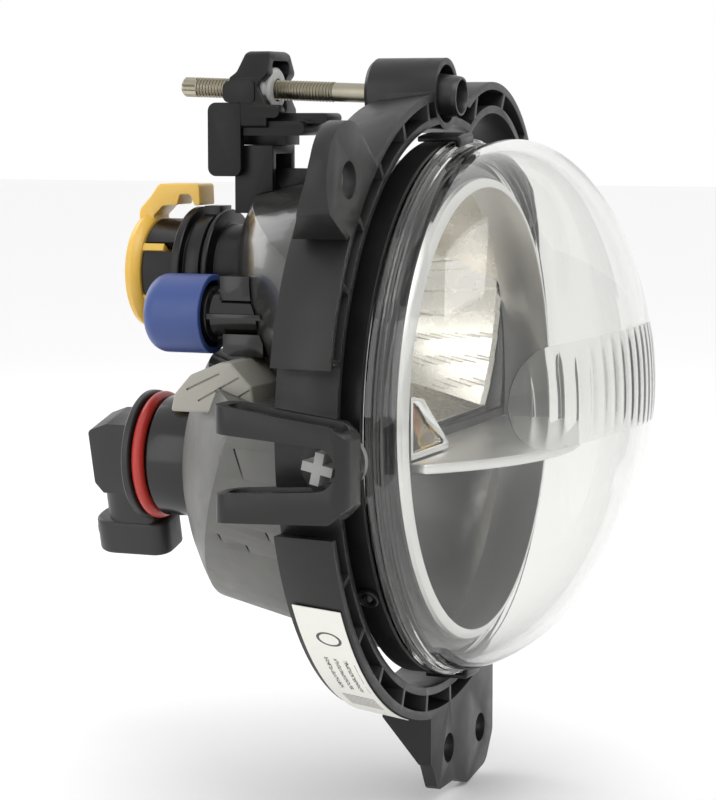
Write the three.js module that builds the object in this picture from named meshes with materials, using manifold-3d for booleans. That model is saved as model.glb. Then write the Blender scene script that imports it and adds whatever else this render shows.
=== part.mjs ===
// Round vehicle fog light with a second signal chamber, in its adjustable carrier ring.
// Millimetres. +Z is up, the lens faces -Y, and the origin is on the lens axis at the
// carrier ring's front face. The lamp tilts in the carrier about two side pins, and a
// threaded adjuster at the top sets the tilt.

import * as THREE from "three";
import { mergeVertices } from "three/addons/utils/BufferGeometryUtils.js";
import Module from "manifold-3d";

const wasm = await Module();
wasm.setup();

// ---- driving dimensions -------------------------------------------------------------

const gap = 0.3;                 // clearance between pieces that sit against each other
const bigRound = 54;             // facets round the carrier ring
const lampRound = 48;            // facets round the lamp's ring, lens and bowls
const smallRound = 28;           // facets round sockets, bulbs and caps

// carrier ring
const ringInner = 64.6;          // inner radius of the ring
const ringBand = 7.4;            // width of the ring's front face
const ringDepth = 14;            // front face to rear edge
const ringDraft = 1.8;           // how much the outer radius shrinks towards the rear
const ringWall = 1.8;            // thickness of the ring's inner and outer walls
const pocketDepth = 10;          // depth of the open pockets in the front face
const pocketCount = 27;          // pockets round the ring
const ribWidth = 1.3;            // thickness of a rib between two pockets
const ringOuter = ringInner + ringBand;

// shoulder: the ring bulges outwards at the upper right
const shoulderAngle = 50.4;      // degrees above the +X direction
const shoulderOuter = 35;        // outer radius of the bulge
const shoulderReach = 14.1;      // how far the bulge stands out from the ring
const shoulderInner = shoulderOuter - ringBand;
const [shoulderX, shoulderZ] = polar(ringOuter + shoulderReach - shoulderOuter, shoulderAngle);

// screw ear, upper left
const earAngle = 138.2;          // degrees above the +X direction
const earReach = 7.8;            // hole centre to the ring's outer edge
const earRadius = 12.3;
const earHole = 4;
const earTopDepth = 4;           // depth of the ear's wall at its top
const earPlate = 3;
const earWall = 2;
const [earX, earZ] = polar(ringOuter + earReach, earAngle);

// bottom tab with two screw holes
const tabLeft = -9;
const tabRight = 35;
const tabReach = 20.5;           // tab's lower end to the ring's outer edge
const tabStep = 3;               // the left half ends this much higher
const tabPlate = 3;
const tabHole = 3.5;
const tabHoleReach = 9;          // screw holes to the ring's outer edge
const tabHoleLeftInset = 12.3;
const tabHoleRightInset = 9.4;
const gussetDepth = 12;
const gussetWall = 2.4;
const tabTop = -(ringInner - 2.6);
const tabRightBottom = -(ringOuter + tabReach);
const tabLeftBottom = tabRightBottom + tabStep;
const tabHoleLeftX = tabLeft + tabHoleLeftInset;
const tabHoleRightX = tabRight - tabHoleRightInset;
const tabHoleZ = -(ringOuter + tabHoleReach);

// pivot arms and side pins
const pivotY = 0.7;
const pivotZ = -5.1;
const armSpan = 11.3;            // outer face of the sprung arms to their inner face
const armThickness = 2.2;
const armFront = -6.2;
const armLength = 30;
const armHeight = 5.9;
const armSetOut = 1.1;           // the arms' inner face to the ring's inner wall
const upperArmRise = 12.5;       // upper arm's top edge at the rear, above the pin
const upperArmFrontRise = 9;     // and at the front
const lowerArmDrop = 6.3;        // lower arm's top edge at the rear, below the pin
const armRoom = 3.7;             // the ring's outer wall is left out this far beside the arms
const pinRadius = 3.5;
const pinFlange = 5.8;
const pinRecess = 1.6;           // the pin's end stops this far inside the arms' outer face
const crossArm = 2;
const notchRoom = 1.1;           // round the pin's end
const armInnerX = ringInner + armSetOut;
const armOuterX = armInnerX + armSpan;
const armRear = armFront + armLength;
const pivotNotch = pinRadius + notchRoom;
const pinTip = armOuterX - pinRecess;
const recessTop = pivotZ + upperArmRise + 2 * armRoom - gap;
const recessBottom = pivotZ - lowerArmDrop - armHeight - armRoom;

// adjuster at the top
const bossRadius = 8.1;
const bossInset = 1.35;          // the boss reaches this far into the ring's opening
const bossDepth = 17.5;
const bossWall = 1.5;
const bossRecessDepth = 12;
const driverTip = -3.7;
const driverBore = 3.6;
const driverWall = 0.9;          // round the bore at the driver's tip
const driverRoom = 1.1;          // between the driver and the boss, so that it can tilt
const screwRadius = 2.35;
const screwLength = 54;          // from the driver to the splined tip's end
const screwTipStep = 0.45;       // the splined tip is this much thinner
const screwTipLength = 3.6;
const bushWall = 1.6;
const screwLean = 2;             // degrees the screw rises towards the rear
const nutY = 45.5;
const nutLength = 7.5;
const nutWall = 2.55;
const trunnion = 3;              // radius of the nut's side pins
const trunnionReach = 1.4;
const bossRecess = bossRadius - bossWall;
const adjusterZ = ringInner + bossRadius - bossInset;
const driverTipRadius = driverBore + driverWall;
const driverBaseRadius = bossRecess - driverRoom;
const screwEnd = bossRecessDepth + screwLength;
const screwTipRadius = screwRadius - screwTipStep;
const nutRadius = screwRadius + gap + nutWall;
const nutReach = nutRadius + trunnionReach;
const bushY = (bossRecessDepth + bossDepth + gap) / 2;
const nutZ = adjusterZ + (nutY - bushY) * Math.tan(THREE.MathUtils.degToRad(screwLean));

// lamp: housing ring, lens and clips
const lampRoom = 3.6;            // between the lamp and the carrier ring, so that it can tilt
const housingWall = 1.6;
const housingFront = -3.4;
const housingDepth = 6.4;
const housingLipWidth = 5;
const lensOverhang = 0.2;        // the lens flange stands out this much past the housing ring
const lensFlangeThickness = 2;
const lensSkirtInset = 1.4;      // flange edge to the dome's skirt
const lensSkirt = 4.2;           // straight part between the flange and the dome
const lensHeight = 36.2;         // how far the dome stands forward
const lensFullness = 1.05;       // 1 is a half ellipse, more is pointed
const lensLift = 0.369;          // the dome leans upwards by this share of its depth
const lensSkew = 0.173;          // and its lower half stands this share further forward
const lensWall = 2.4;
const clipWidth = 9;
const clipThickness = 1.2;
const housingOuter = ringInner - lampRoom;
const housingRear = housingFront + housingDepth;
const housingLip = housingOuter - housingLipWidth;
const lensFlange = housingOuter + lensOverhang;
const lensBase = lensFlange - lensSkirtInset;
const lensBack = housingFront - gap;
const lensFront = lensBack - lensFlangeThickness;
const lensBaseY = lensFront - lensSkirt;

// lamp: reflectors
const bowlWall = 1.8;
const bowlInset = 3;             // bowls' front rim to the housing ring's edge
const bowlTaper = 0.23;          // how fast the bowls narrow towards the rear
const dividerFrontZ = -7;
const dividerSlope = 0.36;
const lipReach = 46;             // half the width of the bright shelf edge
const lipForward = 12;           // its ends stand this far forward, and its middle
const lipBulge = 18;             // this much further
const lipThickness = 2.2;
const lipSteps = 24;
const windowWidth = 25.5;
const windowHeight = 13.6;
const windowRim = 1.3;
const windowThickness = 2;
const windowRear = -6.6;
const signalZ = 29.7;
const signalBowlRear = 48;
const signalBowlCurve = 60;
const fogZ = -14.7;
const fogBowlRear = 59.5;
const fogBowlCurve = 93;
const bowlFront = housingRear + gap;
const bowlFrontRadius = housingOuter - bowlInset;

// signal bulb and its socket
const signalBore = 9.6;
const signalNeckWall = 1.7;
const signalSleeveWall = 2.8;
const signalFlangeWidth = 2.9;
const signalFlangeSetBack = 13.5;  // from the bowl's rear
const signalSleeveLength = 10;
const signalSlots = 6;
const signalSlotWidth = 2.4;
const signalSlotLength = 7.5;
const signalGlassRadius = 4.6;
const signalNeck = signalBore + signalNeckWall;
const signalSleeve = signalBore + signalSleeveWall;
const signalFlange = signalSleeve + signalFlangeWidth;
const signalSocketFront = signalBowlRear - 3;
const signalFlangeY = signalBowlRear + signalFlangeSetBack;
const signalSleeveRear = signalFlangeY + signalSleeveLength;

// fog bulb and its socket
const fogBore = 12.4;
const fogSocketWall = 2;
const fogSocketLength = 15.8;
const fogBulbRim = 1.1;          // the bulb's flange past the socket
const sealSection = 1.5;
const stemRoom = 2.4;            // round the bulb's stem in the socket
const fogGlassRadius = 5.5;
const elbowTurn = -14.5;         // degrees the connector leans about the bulb's axis
const elbowLength = 12.5;        // flange to the elbow's rear face
const elbowHalfWidth = 6;
const hoodReach = 2.8;           // hood's rear past the elbow's
const hoodHalfWidth = 6.2;
const hoodWall = 1.5;
const hoodDrop = 0.4;            // hood's top below the bulb's flange
const hoodLength = 8.5;
const fogNeck = fogBore + fogSocketWall;
const fogSocketFront = fogBowlRear - 5;
const fogSocketRear = fogSocketFront + fogSocketLength;
const fogBulbFlange = fogNeck + fogBulbRim;
const hoodTop = -(fogBulbFlange + hoodDrop);

// vent
const ventX = -25;
const ventZ = 21.7;
const ventTube = 5.2;
const ventWall = 1.6;
const capRadius = 9;
const capFront = 46.7;
const capLength = 15;
const capWall = 1.4;
const capRear = capFront + capLength;

// A point at a distance from the lens axis, at an angle above the +X direction.
function polar(distance, degrees) {
  const angle = THREE.MathUtils.degToRad(degrees);
  return [distance * Math.cos(angle), distance * Math.sin(angle)];
}

// ---- materials ----------------------------------------------------------------------

const looks = {
  carrierPlastic: { color: 0x464644, roughness: 0.45, metalness: 0 },
  blackPlastic: { color: 0x1b1b1c, roughness: 0.35, metalness: 0 },
  label: { color: 0xe4e2da, roughness: 0.5, metalness: 0 },
  lens: { color: 0xe8eef0, roughness: 0.03, metalness: 0, transparent: true, opacity: 0.3 },
  chrome: { color: 0xdedede, roughness: 0.08, metalness: 1 },
  smokedBowl: { color: 0x6c6c6c, roughness: 0.15, metalness: 0.6 },
  greyBowl: { color: 0x96958f, roughness: 0.4, metalness: 0.2 },
  amber: { color: 0xd98a1e, roughness: 0.15, metalness: 0 },
  zinc: { color: 0xbdb394, roughness: 0.35, metalness: 1 },
  nylon: { color: 0xdcdcd6, roughness: 0.5, metalness: 0 },
  yellowNylon: { color: 0xdcb44b, roughness: 0.4, metalness: 0 },
  blueCap: { color: 0x5065a8, roughness: 0.4, metalness: 0 },
  redSeal: { color: 0xc83c30, roughness: 0.5, metalness: 0 },
  glass: { color: 0xf0f0f0, roughness: 0.02, metalness: 0, transparent: true, opacity: 0.3 },
  steel: { color: 0xb8b8b8, roughness: 0.3, metalness: 1 },
  rubber: { color: 0x202020, roughness: 0.8, metalness: 0 },
};

// ---- shape helpers ------------------------------------------------------------------

const group = new THREE.Group();

// A closed three.js geometry as a solid that can be joined and cut.
function solid(geometry) {
  const bare = geometry.clone();
  bare.deleteAttribute("normal");
  bare.deleteAttribute("uv");
  const merged = mergeVertices(bare, 1e-4);
  const points = merged.attributes.position.array;
  const corners = merged.index.array;
  const kept = [];
  let volume = 0;
  const a = new THREE.Vector3();
  const b = new THREE.Vector3();
  const c = new THREE.Vector3();
  for (let i = 0; i < corners.length; i += 3) {
    const [p, q, r] = [corners[i], corners[i + 1], corners[i + 2]];
    if (p === q || q === r || r === p) continue;
    kept.push(p, q, r);
    a.fromArray(points, 3 * p);
    b.fromArray(points, 3 * q);
    c.fromArray(points, 3 * r);
    volume += a.dot(b.cross(c));
  }
  if (volume < 0) kept.reverse();
  return new wasm.Manifold(new wasm.Mesh({
    numProp: 3,
    vertProperties: new Float32Array(points),
    triVerts: new Uint32Array(kept),
  }));
}

// Names a solid and adds it to the object.
function addPiece(name, body, look, parent = group) {
  const data = body.getMesh();
  const geometry = new THREE.BufferGeometry();
  geometry.setAttribute("position", new THREE.BufferAttribute(data.vertProperties, 3));
  geometry.setIndex(new THREE.BufferAttribute(data.triVerts, 1));
  geometry.computeVertexNormals();
  const mesh = new THREE.Mesh(geometry, new THREE.MeshStandardMaterial(looks[look]));
  mesh.name = name;
  parent.add(mesh);
  return mesh;
}

// Turns an outline of [radius, y] points about an axis along Y through (x, z).
function revolve(outline, segments = 64, x = 0, z = 0) {
  const points = outline.map(([r, y]) => new THREE.Vector2(r, y));
  points.push(points[0].clone());
  const geometry = new THREE.LatheGeometry(points, segments);
  geometry.translate(x, 0, z);
  return solid(geometry);
}

function rodY(radius, y0, y1, x = 0, z = 0, segments = 32) {
  const geometry = new THREE.CylinderGeometry(radius, radius, y1 - y0, segments);
  geometry.translate(x, (y0 + y1) / 2, z);
  return solid(geometry);
}

function rodX(radius, x0, x1, y, z, segments = 32) {
  const geometry = new THREE.CylinderGeometry(radius, radius, x1 - x0, segments);
  geometry.rotateZ(Math.PI / 2);
  geometry.translate((x0 + x1) / 2, y, z);
  return solid(geometry);
}

function block(x0, x1, y0, y1, z0, z1) {
  const geometry = new THREE.BoxGeometry(x1 - x0, y1 - y0, z1 - z0);
  geometry.translate((x0 + x1) / 2, (y0 + y1) / 2, (z0 + z1) / 2);
  return solid(geometry);
}

function outlineOf(points) {
  return new THREE.Shape(points.map(([u, v]) => new THREE.Vector2(u, v)));
}

function discShape(u, v, radius) {
  const shape = new THREE.Shape();
  shape.absarc(u, v, radius, 0, 2 * Math.PI, false);
  return shape;
}

// Rounded rectangle between two corners.
function roundedShape(u0, u1, v0, v1, radius) {
  const shape = new THREE.Shape();
  shape.moveTo(u0 + radius, v0);
  shape.lineTo(u1 - radius, v0);
  shape.absarc(u1 - radius, v0 + radius, radius, -Math.PI / 2, 0, false);
  shape.lineTo(u1, v1 - radius);
  shape.absarc(u1 - radius, v1 - radius, radius, 0, Math.PI / 2, false);
  shape.lineTo(u0 + radius, v1);
  shape.absarc(u0 + radius, v1 - radius, radius, Math.PI / 2, Math.PI, false);
  shape.lineTo(u0, v0 + radius);
  shape.absarc(u0 + radius, v0 + radius, radius, Math.PI, 1.5 * Math.PI, false);
  return shape;
}

function extruded(shape, depth, curveSegments) {
  return new THREE.ExtrudeGeometry(shape, { depth, bevelEnabled: false, curveSegments });
}

// An (x, z) outline between two y positions.
function prismY(shape, y0, y1, curveSegments = 12) {
  const geometry = extruded(shape, y1 - y0, curveSegments);
  geometry.rotateX(Math.PI / 2);
  geometry.translate(0, y1, 0);
  return solid(geometry);
}

// A (y, z) outline between two x positions.
function prismX(shape, x0, x1, curveSegments = 12) {
  const geometry = extruded(shape, x1 - x0, curveSegments);
  const turn = new THREE.Matrix4();
  turn.makeBasis(new THREE.Vector3(0, 1, 0), new THREE.Vector3(0, 0, 1), new THREE.Vector3(1, 0, 0));
  geometry.applyMatrix4(turn);
  geometry.translate(x0, 0, 0);
  return solid(geometry);
}

// An (x, y) outline between two z positions.
function prismZ(shape, z0, z1, curveSegments = 12) {
  const geometry = extruded(shape, z1 - z0, curveSegments);
  geometry.translate(0, 0, z0);
  return solid(geometry);
}

// ---- carrier ------------------------------------------------------------------------

// The ring's outline grown or shrunk by an offset: main circle and shoulder together.
function ringBlank(mainRadius, shoulderRadius, y0, y1, draft = 0) {
  const main = revolve([[0, y0], [mainRadius, y0], [mainRadius - draft, y1], [0, y1]], bigRound);
  const shoulder = prismY(discShape(shoulderX, shoulderZ, shoulderRadius), y0, y1, 16);
  return main.add(shoulder);
}

function ringPockets() {
  const over = 1;
  const outer = ringBlank(ringOuter - ringWall, shoulderOuter - ringWall, -over, pocketDepth, ringDraft);
  const inner = ringBlank(ringInner + ringWall, shoulderInner + ringWall, -2 * over, pocketDepth + over);
  let pockets = outer.subtract(inner);
  for (let i = 0; i < pocketCount; i += 1) {
    const rib = new THREE.BoxGeometry(2 * ringOuter, pocketDepth * 3, ribWidth);
    rib.translate(ringOuter, 0, 0);
    rib.rotateY(-(i + 0.5) * 2 * Math.PI / pocketCount);
    pockets = pockets.subtract(solid(rib));
  }
  return pockets;
}

// Screw ear: a lobe with a plate at the front and a wall behind it.
function earShape(inset) {
  const shape = new THREE.Shape();
  const r = earRadius - inset;
  shape.absarc(earX, earZ, r, THREE.MathUtils.degToRad(62), THREE.MathUtils.degToRad(214), false);
  shape.lineTo(earX - 1 + inset, earZ - r);
  shape.lineTo(earX + 0.73 * earRadius, earZ - 0.65 * earRadius);
  shape.lineTo(earX + 1.3 * earRadius, earZ + 0.24 * earRadius);
  return shape;
}

function ear() {
  const lobe = prismY(earShape(0), 0, ringDepth);
  const hollow = prismY(earShape(earWall), earPlate, ringDepth + 1);
  // the wall behind the lobe is shallow at the top and as deep as the ring at the bottom
  const above = earZ + 2 * earRadius;
  const below = earZ - 2 * earRadius;
  const side = outlineOf([
    [-1, above],
    [earTopDepth, above],
    [earTopDepth, earZ + 0.4 * earRadius],
    [earTopDepth + 0.6, earZ],
    [(ringDepth + earTopDepth) / 2 - 1.5, earZ - 0.58 * earRadius],
    [ringDepth, earZ - 1.15 * earRadius],
    [ringDepth, below],
    [-1, below],
  ]);
  return lobe.subtract(hollow).intersect(prismX(side, -2 * ringOuter, 2 * ringOuter));
}

// Bottom tab: a plate with a stiffening gusset down its left side.
function tab() {
  const corner = 7;
  const tabMiddle = (tabLeft + tabRight) / 2;
  const plate = prismY(outlineOf([
    [tabLeft, tabTop],
    [tabLeft, tabLeftBottom + corner + 1],
    [tabLeft + 5, tabLeftBottom],
    [tabMiddle - 5, tabLeftBottom],
    [tabMiddle + 3, tabRightBottom],
    [tabRight - 5, tabRightBottom + 2],
    [tabRight, tabRightBottom + corner + 2],
    [tabRight, tabTop],
  ]), 0, tabPlate);
  const gussetShape = outlineOf([
    [0, tabTop],
    [0, tabLeftBottom + corner],
    [tabPlate, tabLeftBottom + corner],
    [gussetDepth, -ringOuter],
    [gussetDepth, tabTop],
  ]);
  const left = prismX(gussetShape, tabLeft, tabLeft + gussetWall);
  const right = prismX(gussetShape, tabRight - gussetWall, tabRight);
  return plate.add(left).add(right);
}

// Sprung arms on one side: a closed loop in plan, cut to two arms joined at the front.
function pivotArms() {
  const upperTop = pivotZ + upperArmRise;
  const lowerTop = pivotZ - lowerArmDrop;
  const lowerBottom = lowerTop - armHeight;
  const corner = 3.4;
  const loop = prismZ(roundedShape(-armOuterX, -armInnerX, armFront, armRear, corner),
    lowerBottom - 3, upperTop + 3, 5);
  const slot = prismZ(roundedShape(-armOuterX + armThickness, -armInnerX - armThickness,
    armFront + armThickness, armRear - armThickness, corner - 1.4), lowerBottom - 4, upperTop + 4, 4);
  const side = new THREE.Shape();
  side.moveTo(armRear + 1, upperTop);
  side.lineTo(armFront + 4, pivotZ + upperArmFrontRise);
  side.lineTo(armFront - 1, pivotZ + upperArmFrontRise - 4);
  side.lineTo(armFront - 1, lowerTop + 1.5 - armHeight + 4);
  side.lineTo(armFront + 4, lowerTop + 0.9 - armHeight);
  side.lineTo(armRear + 1, lowerBottom);
  side.lineTo(armRear + 1, lowerTop);
  side.lineTo(pivotY, pivotZ - pivotNotch);
  side.absarc(pivotY, pivotZ, pivotNotch, -Math.PI / 2, Math.PI / 2, true);
  side.lineTo(armRear + 1, upperTop - armHeight);
  const arms = loop.subtract(slot).intersect(prismX(side, -armOuterX - 1, -armInnerX + 1, 6));
  const bearing = rodX(pivotNotch + 2.2, -armInnerX - armThickness, -armInnerX, pivotY, pivotZ);
  return arms.add(bearing);
}

function mirrored(body) {
  const data = body.getMesh();
  const geometry = new THREE.BufferGeometry();
  geometry.setAttribute("position", new THREE.BufferAttribute(data.vertProperties, 3));
  geometry.setIndex(new THREE.BufferAttribute(data.triVerts, 1));
  geometry.scale(-1, 1, 1);
  return solid(geometry);
}

function carrierFrame() {
  const over = 2;
  let frame = ringBlank(ringOuter, shoulderOuter, 0, ringDepth, ringDraft);
  frame = frame.add(ear());
  frame = frame.add(tab());
  const boss = rodY(bossRadius, 0, bossDepth, 0, adjusterZ);
  frame = frame.add(boss);
  frame = frame.subtract(ringPockets().subtract(boss));
  frame = frame.subtract(ringBlank(ringInner, shoulderInner, -over, ringDepth + over).subtract(boss));
  // the outer wall is left out beside the arms, on both sides
  const keep = ringInner + ringWall;
  const band = rodY(armOuterX, -over, ringDepth + over, 0, 0, bigRound)
    .subtract(rodY(keep, -2 * over, ringDepth + 2 * over, 0, 0, bigRound));
  const side = block(-2 * ringOuter, -ringInner / 2, -over, ringDepth + over, recessBottom, recessTop);
  const recess = band.intersect(side);
  frame = frame.subtract(recess).subtract(mirrored(recess));
  const arms = pivotArms();
  frame = frame.add(arms).add(mirrored(arms));
  // the arms only touch the outside of the ring
  frame = frame.subtract(rodY(ringInner, -10, ringDepth + over, 0, 0, bigRound).subtract(boss));
  // holes
  frame = frame.subtract(rodY(earHole, -over, ringDepth + over, earX, earZ, 24));
  frame = frame.subtract(rodY(tabHole, -over, gussetDepth, tabHoleLeftX, tabHoleZ, 24));
  frame = frame.subtract(rodY(tabHole, -over, gussetDepth, tabHoleRightX, tabHoleZ, 24));
  frame = frame.subtract(rodX(pinRadius + gap, -armInnerX - 4, -ringInner + 4, pivotY, pivotZ));
  frame = frame.subtract(rodX(pinRadius + gap, ringInner - 4, armInnerX + 4, pivotY, pivotZ));
  frame = frame.subtract(rodY(bossRecess, -over, bossRecessDepth, 0, adjusterZ));
  frame = frame.subtract(rodY(screwRadius + bushWall + 2 * gap, 0, bossDepth + over, 0, adjusterZ));
  addPiece("carrier_frame", frame, "carrierPlastic");
}

// Rating label: a thin plate that follows the ring's outer wall, with no lettering.
function ratingLabel() {
  const y0 = 1;
  const y1 = ringDepth - 4.8;
  const wallAt = (y) => ringOuter - ringDraft * y / ringDepth;
  const sheet = revolve([
    [wallAt(y0) + gap, y0],
    [wallAt(y0) + 2 * gap, y0],
    [wallAt(y1) + 2 * gap, y1],
    [wallAt(y1) + gap, y1],
  ], bigRound);
  const reach = 1.25 * ringOuter;
  const start = THREE.MathUtils.degToRad(-149);
  const end = THREE.MathUtils.degToRad(-107);
  const wedge = outlineOf([
    [0, 0],
    [reach * Math.cos(start), reach * Math.sin(start)],
    [reach * Math.cos(end), reach * Math.sin(end)],
  ]);
  addPiece("rating_label", sheet.intersect(prismY(wedge, 0, ringDepth)), "label");
}

// ---- adjuster -----------------------------------------------------------------------

// The screw and what sits on it are drawn level, then leaned about the bush's centre.
function adjuster() {
  const leaned = new THREE.Group();
  leaned.position.set(0, bushY, adjusterZ);
  leaned.rotation.x = THREE.MathUtils.degToRad(screwLean);
  group.add(leaned);
  const along = (y) => y - bushY;
  const bush = revolve([
    [screwRadius + gap, along(bossRecessDepth + 2 * gap)],
    [screwRadius + bushWall + gap, along(bossRecessDepth + 2 * gap)],
    [screwRadius + bushWall + gap, along(bossDepth - gap)],
    [screwRadius + gap, along(bossDepth - gap)],
  ], 32);
  addPiece("adjuster_bush", bush, "nylon", leaned);
  const driverFloor = 5;
  const driverRear = bossRecessDepth - 0.8;
  const driver = revolve([
    [0, along(driverFloor)],
    [driverBore, along(driverFloor)],
    [driverBore, along(driverTip)],
    [driverTipRadius, along(driverTip)],
    [driverBaseRadius, along(driverFloor)],
    [driverBaseRadius, along(driverRear)],
    [0, along(driverRear)],
  ], 32);
  addPiece("adjuster_driver", driver, "blackPlastic", leaned);
  const thread = rodY(screwRadius, along(driverRear + gap), along(screwEnd - screwTipLength), 0, 0, 24);
  const tip = rodY(screwTipRadius, along(screwEnd - screwTipLength - 1), along(screwEnd), 0, 0, 12);
  addPiece("adjuster_screw", thread.add(tip), "zinc", leaned);
  const nut = rodY(nutRadius, along(nutY - nutLength / 2), along(nutY + nutLength / 2), 0, 0, 24);
  const wings = rodX(trunnion, -nutReach, nutReach, along(nutY), 0, 20);
  const bore = rodY(screwRadius + gap, along(nutY - nutLength), along(nutY + nutLength), 0, 0, 24);
  addPiece("adjuster_nut", nut.add(wings).subtract(bore), "nylon", leaned);
}

// ---- lamp: ring, lens, pins ---------------------------------------------------------

function housingRing() {
  const ring = revolve([
    [housingOuter - housingWall, housingFront],
    [housingOuter, housingFront],
    [housingOuter, housingRear],
    [housingLip, housingRear],
    [housingLip, housingRear - housingWall],
    [housingOuter - housingWall, housingRear - housingWall],
  ], lampRound);
  addPiece("housing_ring", ring, "blackPlastic");
  const seal = revolve([
    [housingLip + 1, housingFront],
    [housingOuter - housingWall - gap, housingFront],
    [housingOuter - housingWall - gap, housingRear - housingWall - gap],
    [housingLip + 1, housingRear - housingWall - gap],
  ], lampRound);
  addPiece("lens_seal", seal, "rubber");
}

// The dome's outline from its base to its tip, at a given wall depth.
function domeOutline(inset) {
  const steps = 9;
  const points = [];
  for (let i = 0; i <= steps; i += 1) {
    const angle = (i / steps) * Math.PI / 2;
    const radius = (lensBase - inset) * Math.pow(Math.cos(angle), lensFullness);
    points.push([radius, lensBaseY - (lensHeight - inset) * Math.sin(angle)]);
  }
  points[steps][0] = 0;
  return points;
}

function lens() {
  const outline = [
    [lensBase - lensWall, lensBack],
    [lensFlange, lensBack],
    [lensFlange, lensFront],
    [lensBase, lensFront],
    ...domeOutline(0),
    ...domeOutline(lensWall).reverse(),
  ];
  const points = outline.map(([r, y]) => new THREE.Vector2(r, y));
  points.push(points[0].clone());
  const geometry = new THREE.LatheGeometry(points, lampRound);
  const place = geometry.attributes.position;
  for (let i = 0; i < place.count; i += 1) {
    const forward = Math.max(0, lensBaseY - place.getY(i));
    const height = place.getZ(i);
    place.setY(i, place.getY(i) + lensSkew * forward * height / lensBase);
    place.setZ(i, height + lensLift * forward);
  }
  addPiece("lens", solid(geometry), "lens");
}

// A clip that hooks over the lens flange at an angle round the ring.
function lensClip(name, degrees) {
  const inner = lensFlange + gap;
  const outer = inner + clipThickness;
  const front = lensFront - gap;
  const ring = revolve([
    [inner, front],
    [lensBase + gap, front],
    [lensBase + gap, front - clipThickness],
    [outer, front - clipThickness],
    [outer, housingRear],
    [inner, housingRear],
  ], lampRound);
  const sector = new THREE.BoxGeometry(clipWidth, 4 * housingDepth, 4 * lensSkirt);
  sector.translate(0, 0, lensFlange);
  sector.rotateY(THREE.MathUtils.degToRad(degrees));
  addPiece(name, ring.intersect(solid(sector)), "blackPlastic");
}

// Side pin: a round journal with a flange and a cross-shaped end.
function pivotPin(name, side) {
  const journalEnd = armInnerX + armThickness + gap;
  const flangeEnd = journalEnd + 1.2;
  const start = lensFlange + gap;
  let pin = rodX(pinRadius, start, flangeEnd, pivotY, pivotZ, 28);
  pin = pin.add(rodX(pinFlange, start, start + (lampRoom - gap) / 2, pivotY, pivotZ, 28));
  const half = crossArm / 2;
  const reach = pinRadius - 0.1;
  const upright = block(journalEnd, pinTip, pivotY - half, pivotY + half, pivotZ - reach, pivotZ + reach);
  const level = block(journalEnd, pinTip, pivotY - reach, pivotY + reach, pivotZ - half, pivotZ + half);
  pin = pin.add(upright).add(level);
  addPiece(name, side < 0 ? mirrored(pin) : pin, "greyBowl");
}

// ---- lamp: reflectors ---------------------------------------------------------------

// A parabolic bowl about an axis along Y, opening forwards, as a solid plug.
function bowlPlug(neck, rear, curve, z, inset) {
  const front = bowlFront - gap;
  const steps = 7;
  const outline = [[0, front]];
  for (let i = 0; i <= steps; i += 1) {
    const y = front + (rear - front) * i / steps;
    outline.push([Math.sqrt(neck * neck + curve * (rear - y)) - inset, y]);
  }
  outline.push([0, rear]);
  const shifted = outline.map(([r, y]) => [r, y - (inset > 0 && y > front ? inset : 0)]);
  return revolve(shifted, lampRound, 0, z);
}

// The taper that both bowls keep inside, about the lens axis.
function taperPlug(inset) {
  const front = bowlFront - (inset > 0 ? 1 : 0);
  const rear = fogBowlRear + 10;
  const frontRadius = bowlFrontRadius - inset;
  return revolve([
    [0, front],
    [frontRadius, front],
    [frontRadius - bowlTaper * (rear - front), rear],
    [0, rear],
  ], lampRound);
}

// Everything above or below the sloping divider, a given distance from it.
function halfSpace(above, offset) {
  const y0 = -20;
  const y1 = fogBowlRear + 25;
  const zAt = (y) => dividerFrontZ + dividerSlope * y + offset;
  const far = above ? 2 * ringOuter : -2 * ringOuter;
  const outline = outlineOf([[y0, zAt(y0)], [y1, zAt(y1)], [y1, far], [y0, far]]);
  return prismX(outline, -ringOuter, ringOuter);
}

function reflector(name, above, neck, rear, curve, z, look) {
  const side = above ? 1 : -1;
  const outer = bowlPlug(neck, rear, curve, z, 0)
    .intersect(taperPlug(0))
    .intersect(halfSpace(above, side * gap / 2));
  const inner = bowlPlug(neck, rear, curve, z, bowlWall)
    .intersect(taperPlug(bowlWall))
    .intersect(halfSpace(above, side * (gap / 2 + bowlWall)));
  const hole = rodY(neck + gap, rear - 25, rear + 5, 0, z, smallRound);
  const bowl = outer.subtract(inner).subtract(hole);
  addPiece(name, above ? bowl : bowl.subtract(fogKeepOut()), look);
}

// The room that the signal socket and the vent cap take behind the fog bowl's top.
function fogKeepOut() {
  const socket = rodY(signalFlange + gap, signalBowlRear + 4, signalSleeveRear + 6, 0, signalZ, smallRound);
  return socket.add(rodY(capRadius + gap, capFront - gap, capRear + gap, ventX, ventZ, smallRound));
}

// The room that the signal reflector takes, with its clearance.
function signalKeepOut() {
  const room = 2 * gap;
  return bowlPlug(signalNeck + room, signalBowlRear + room, signalBowlCurve, signalZ, 0)
    .intersect(taperPlug(-room));
}

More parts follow.
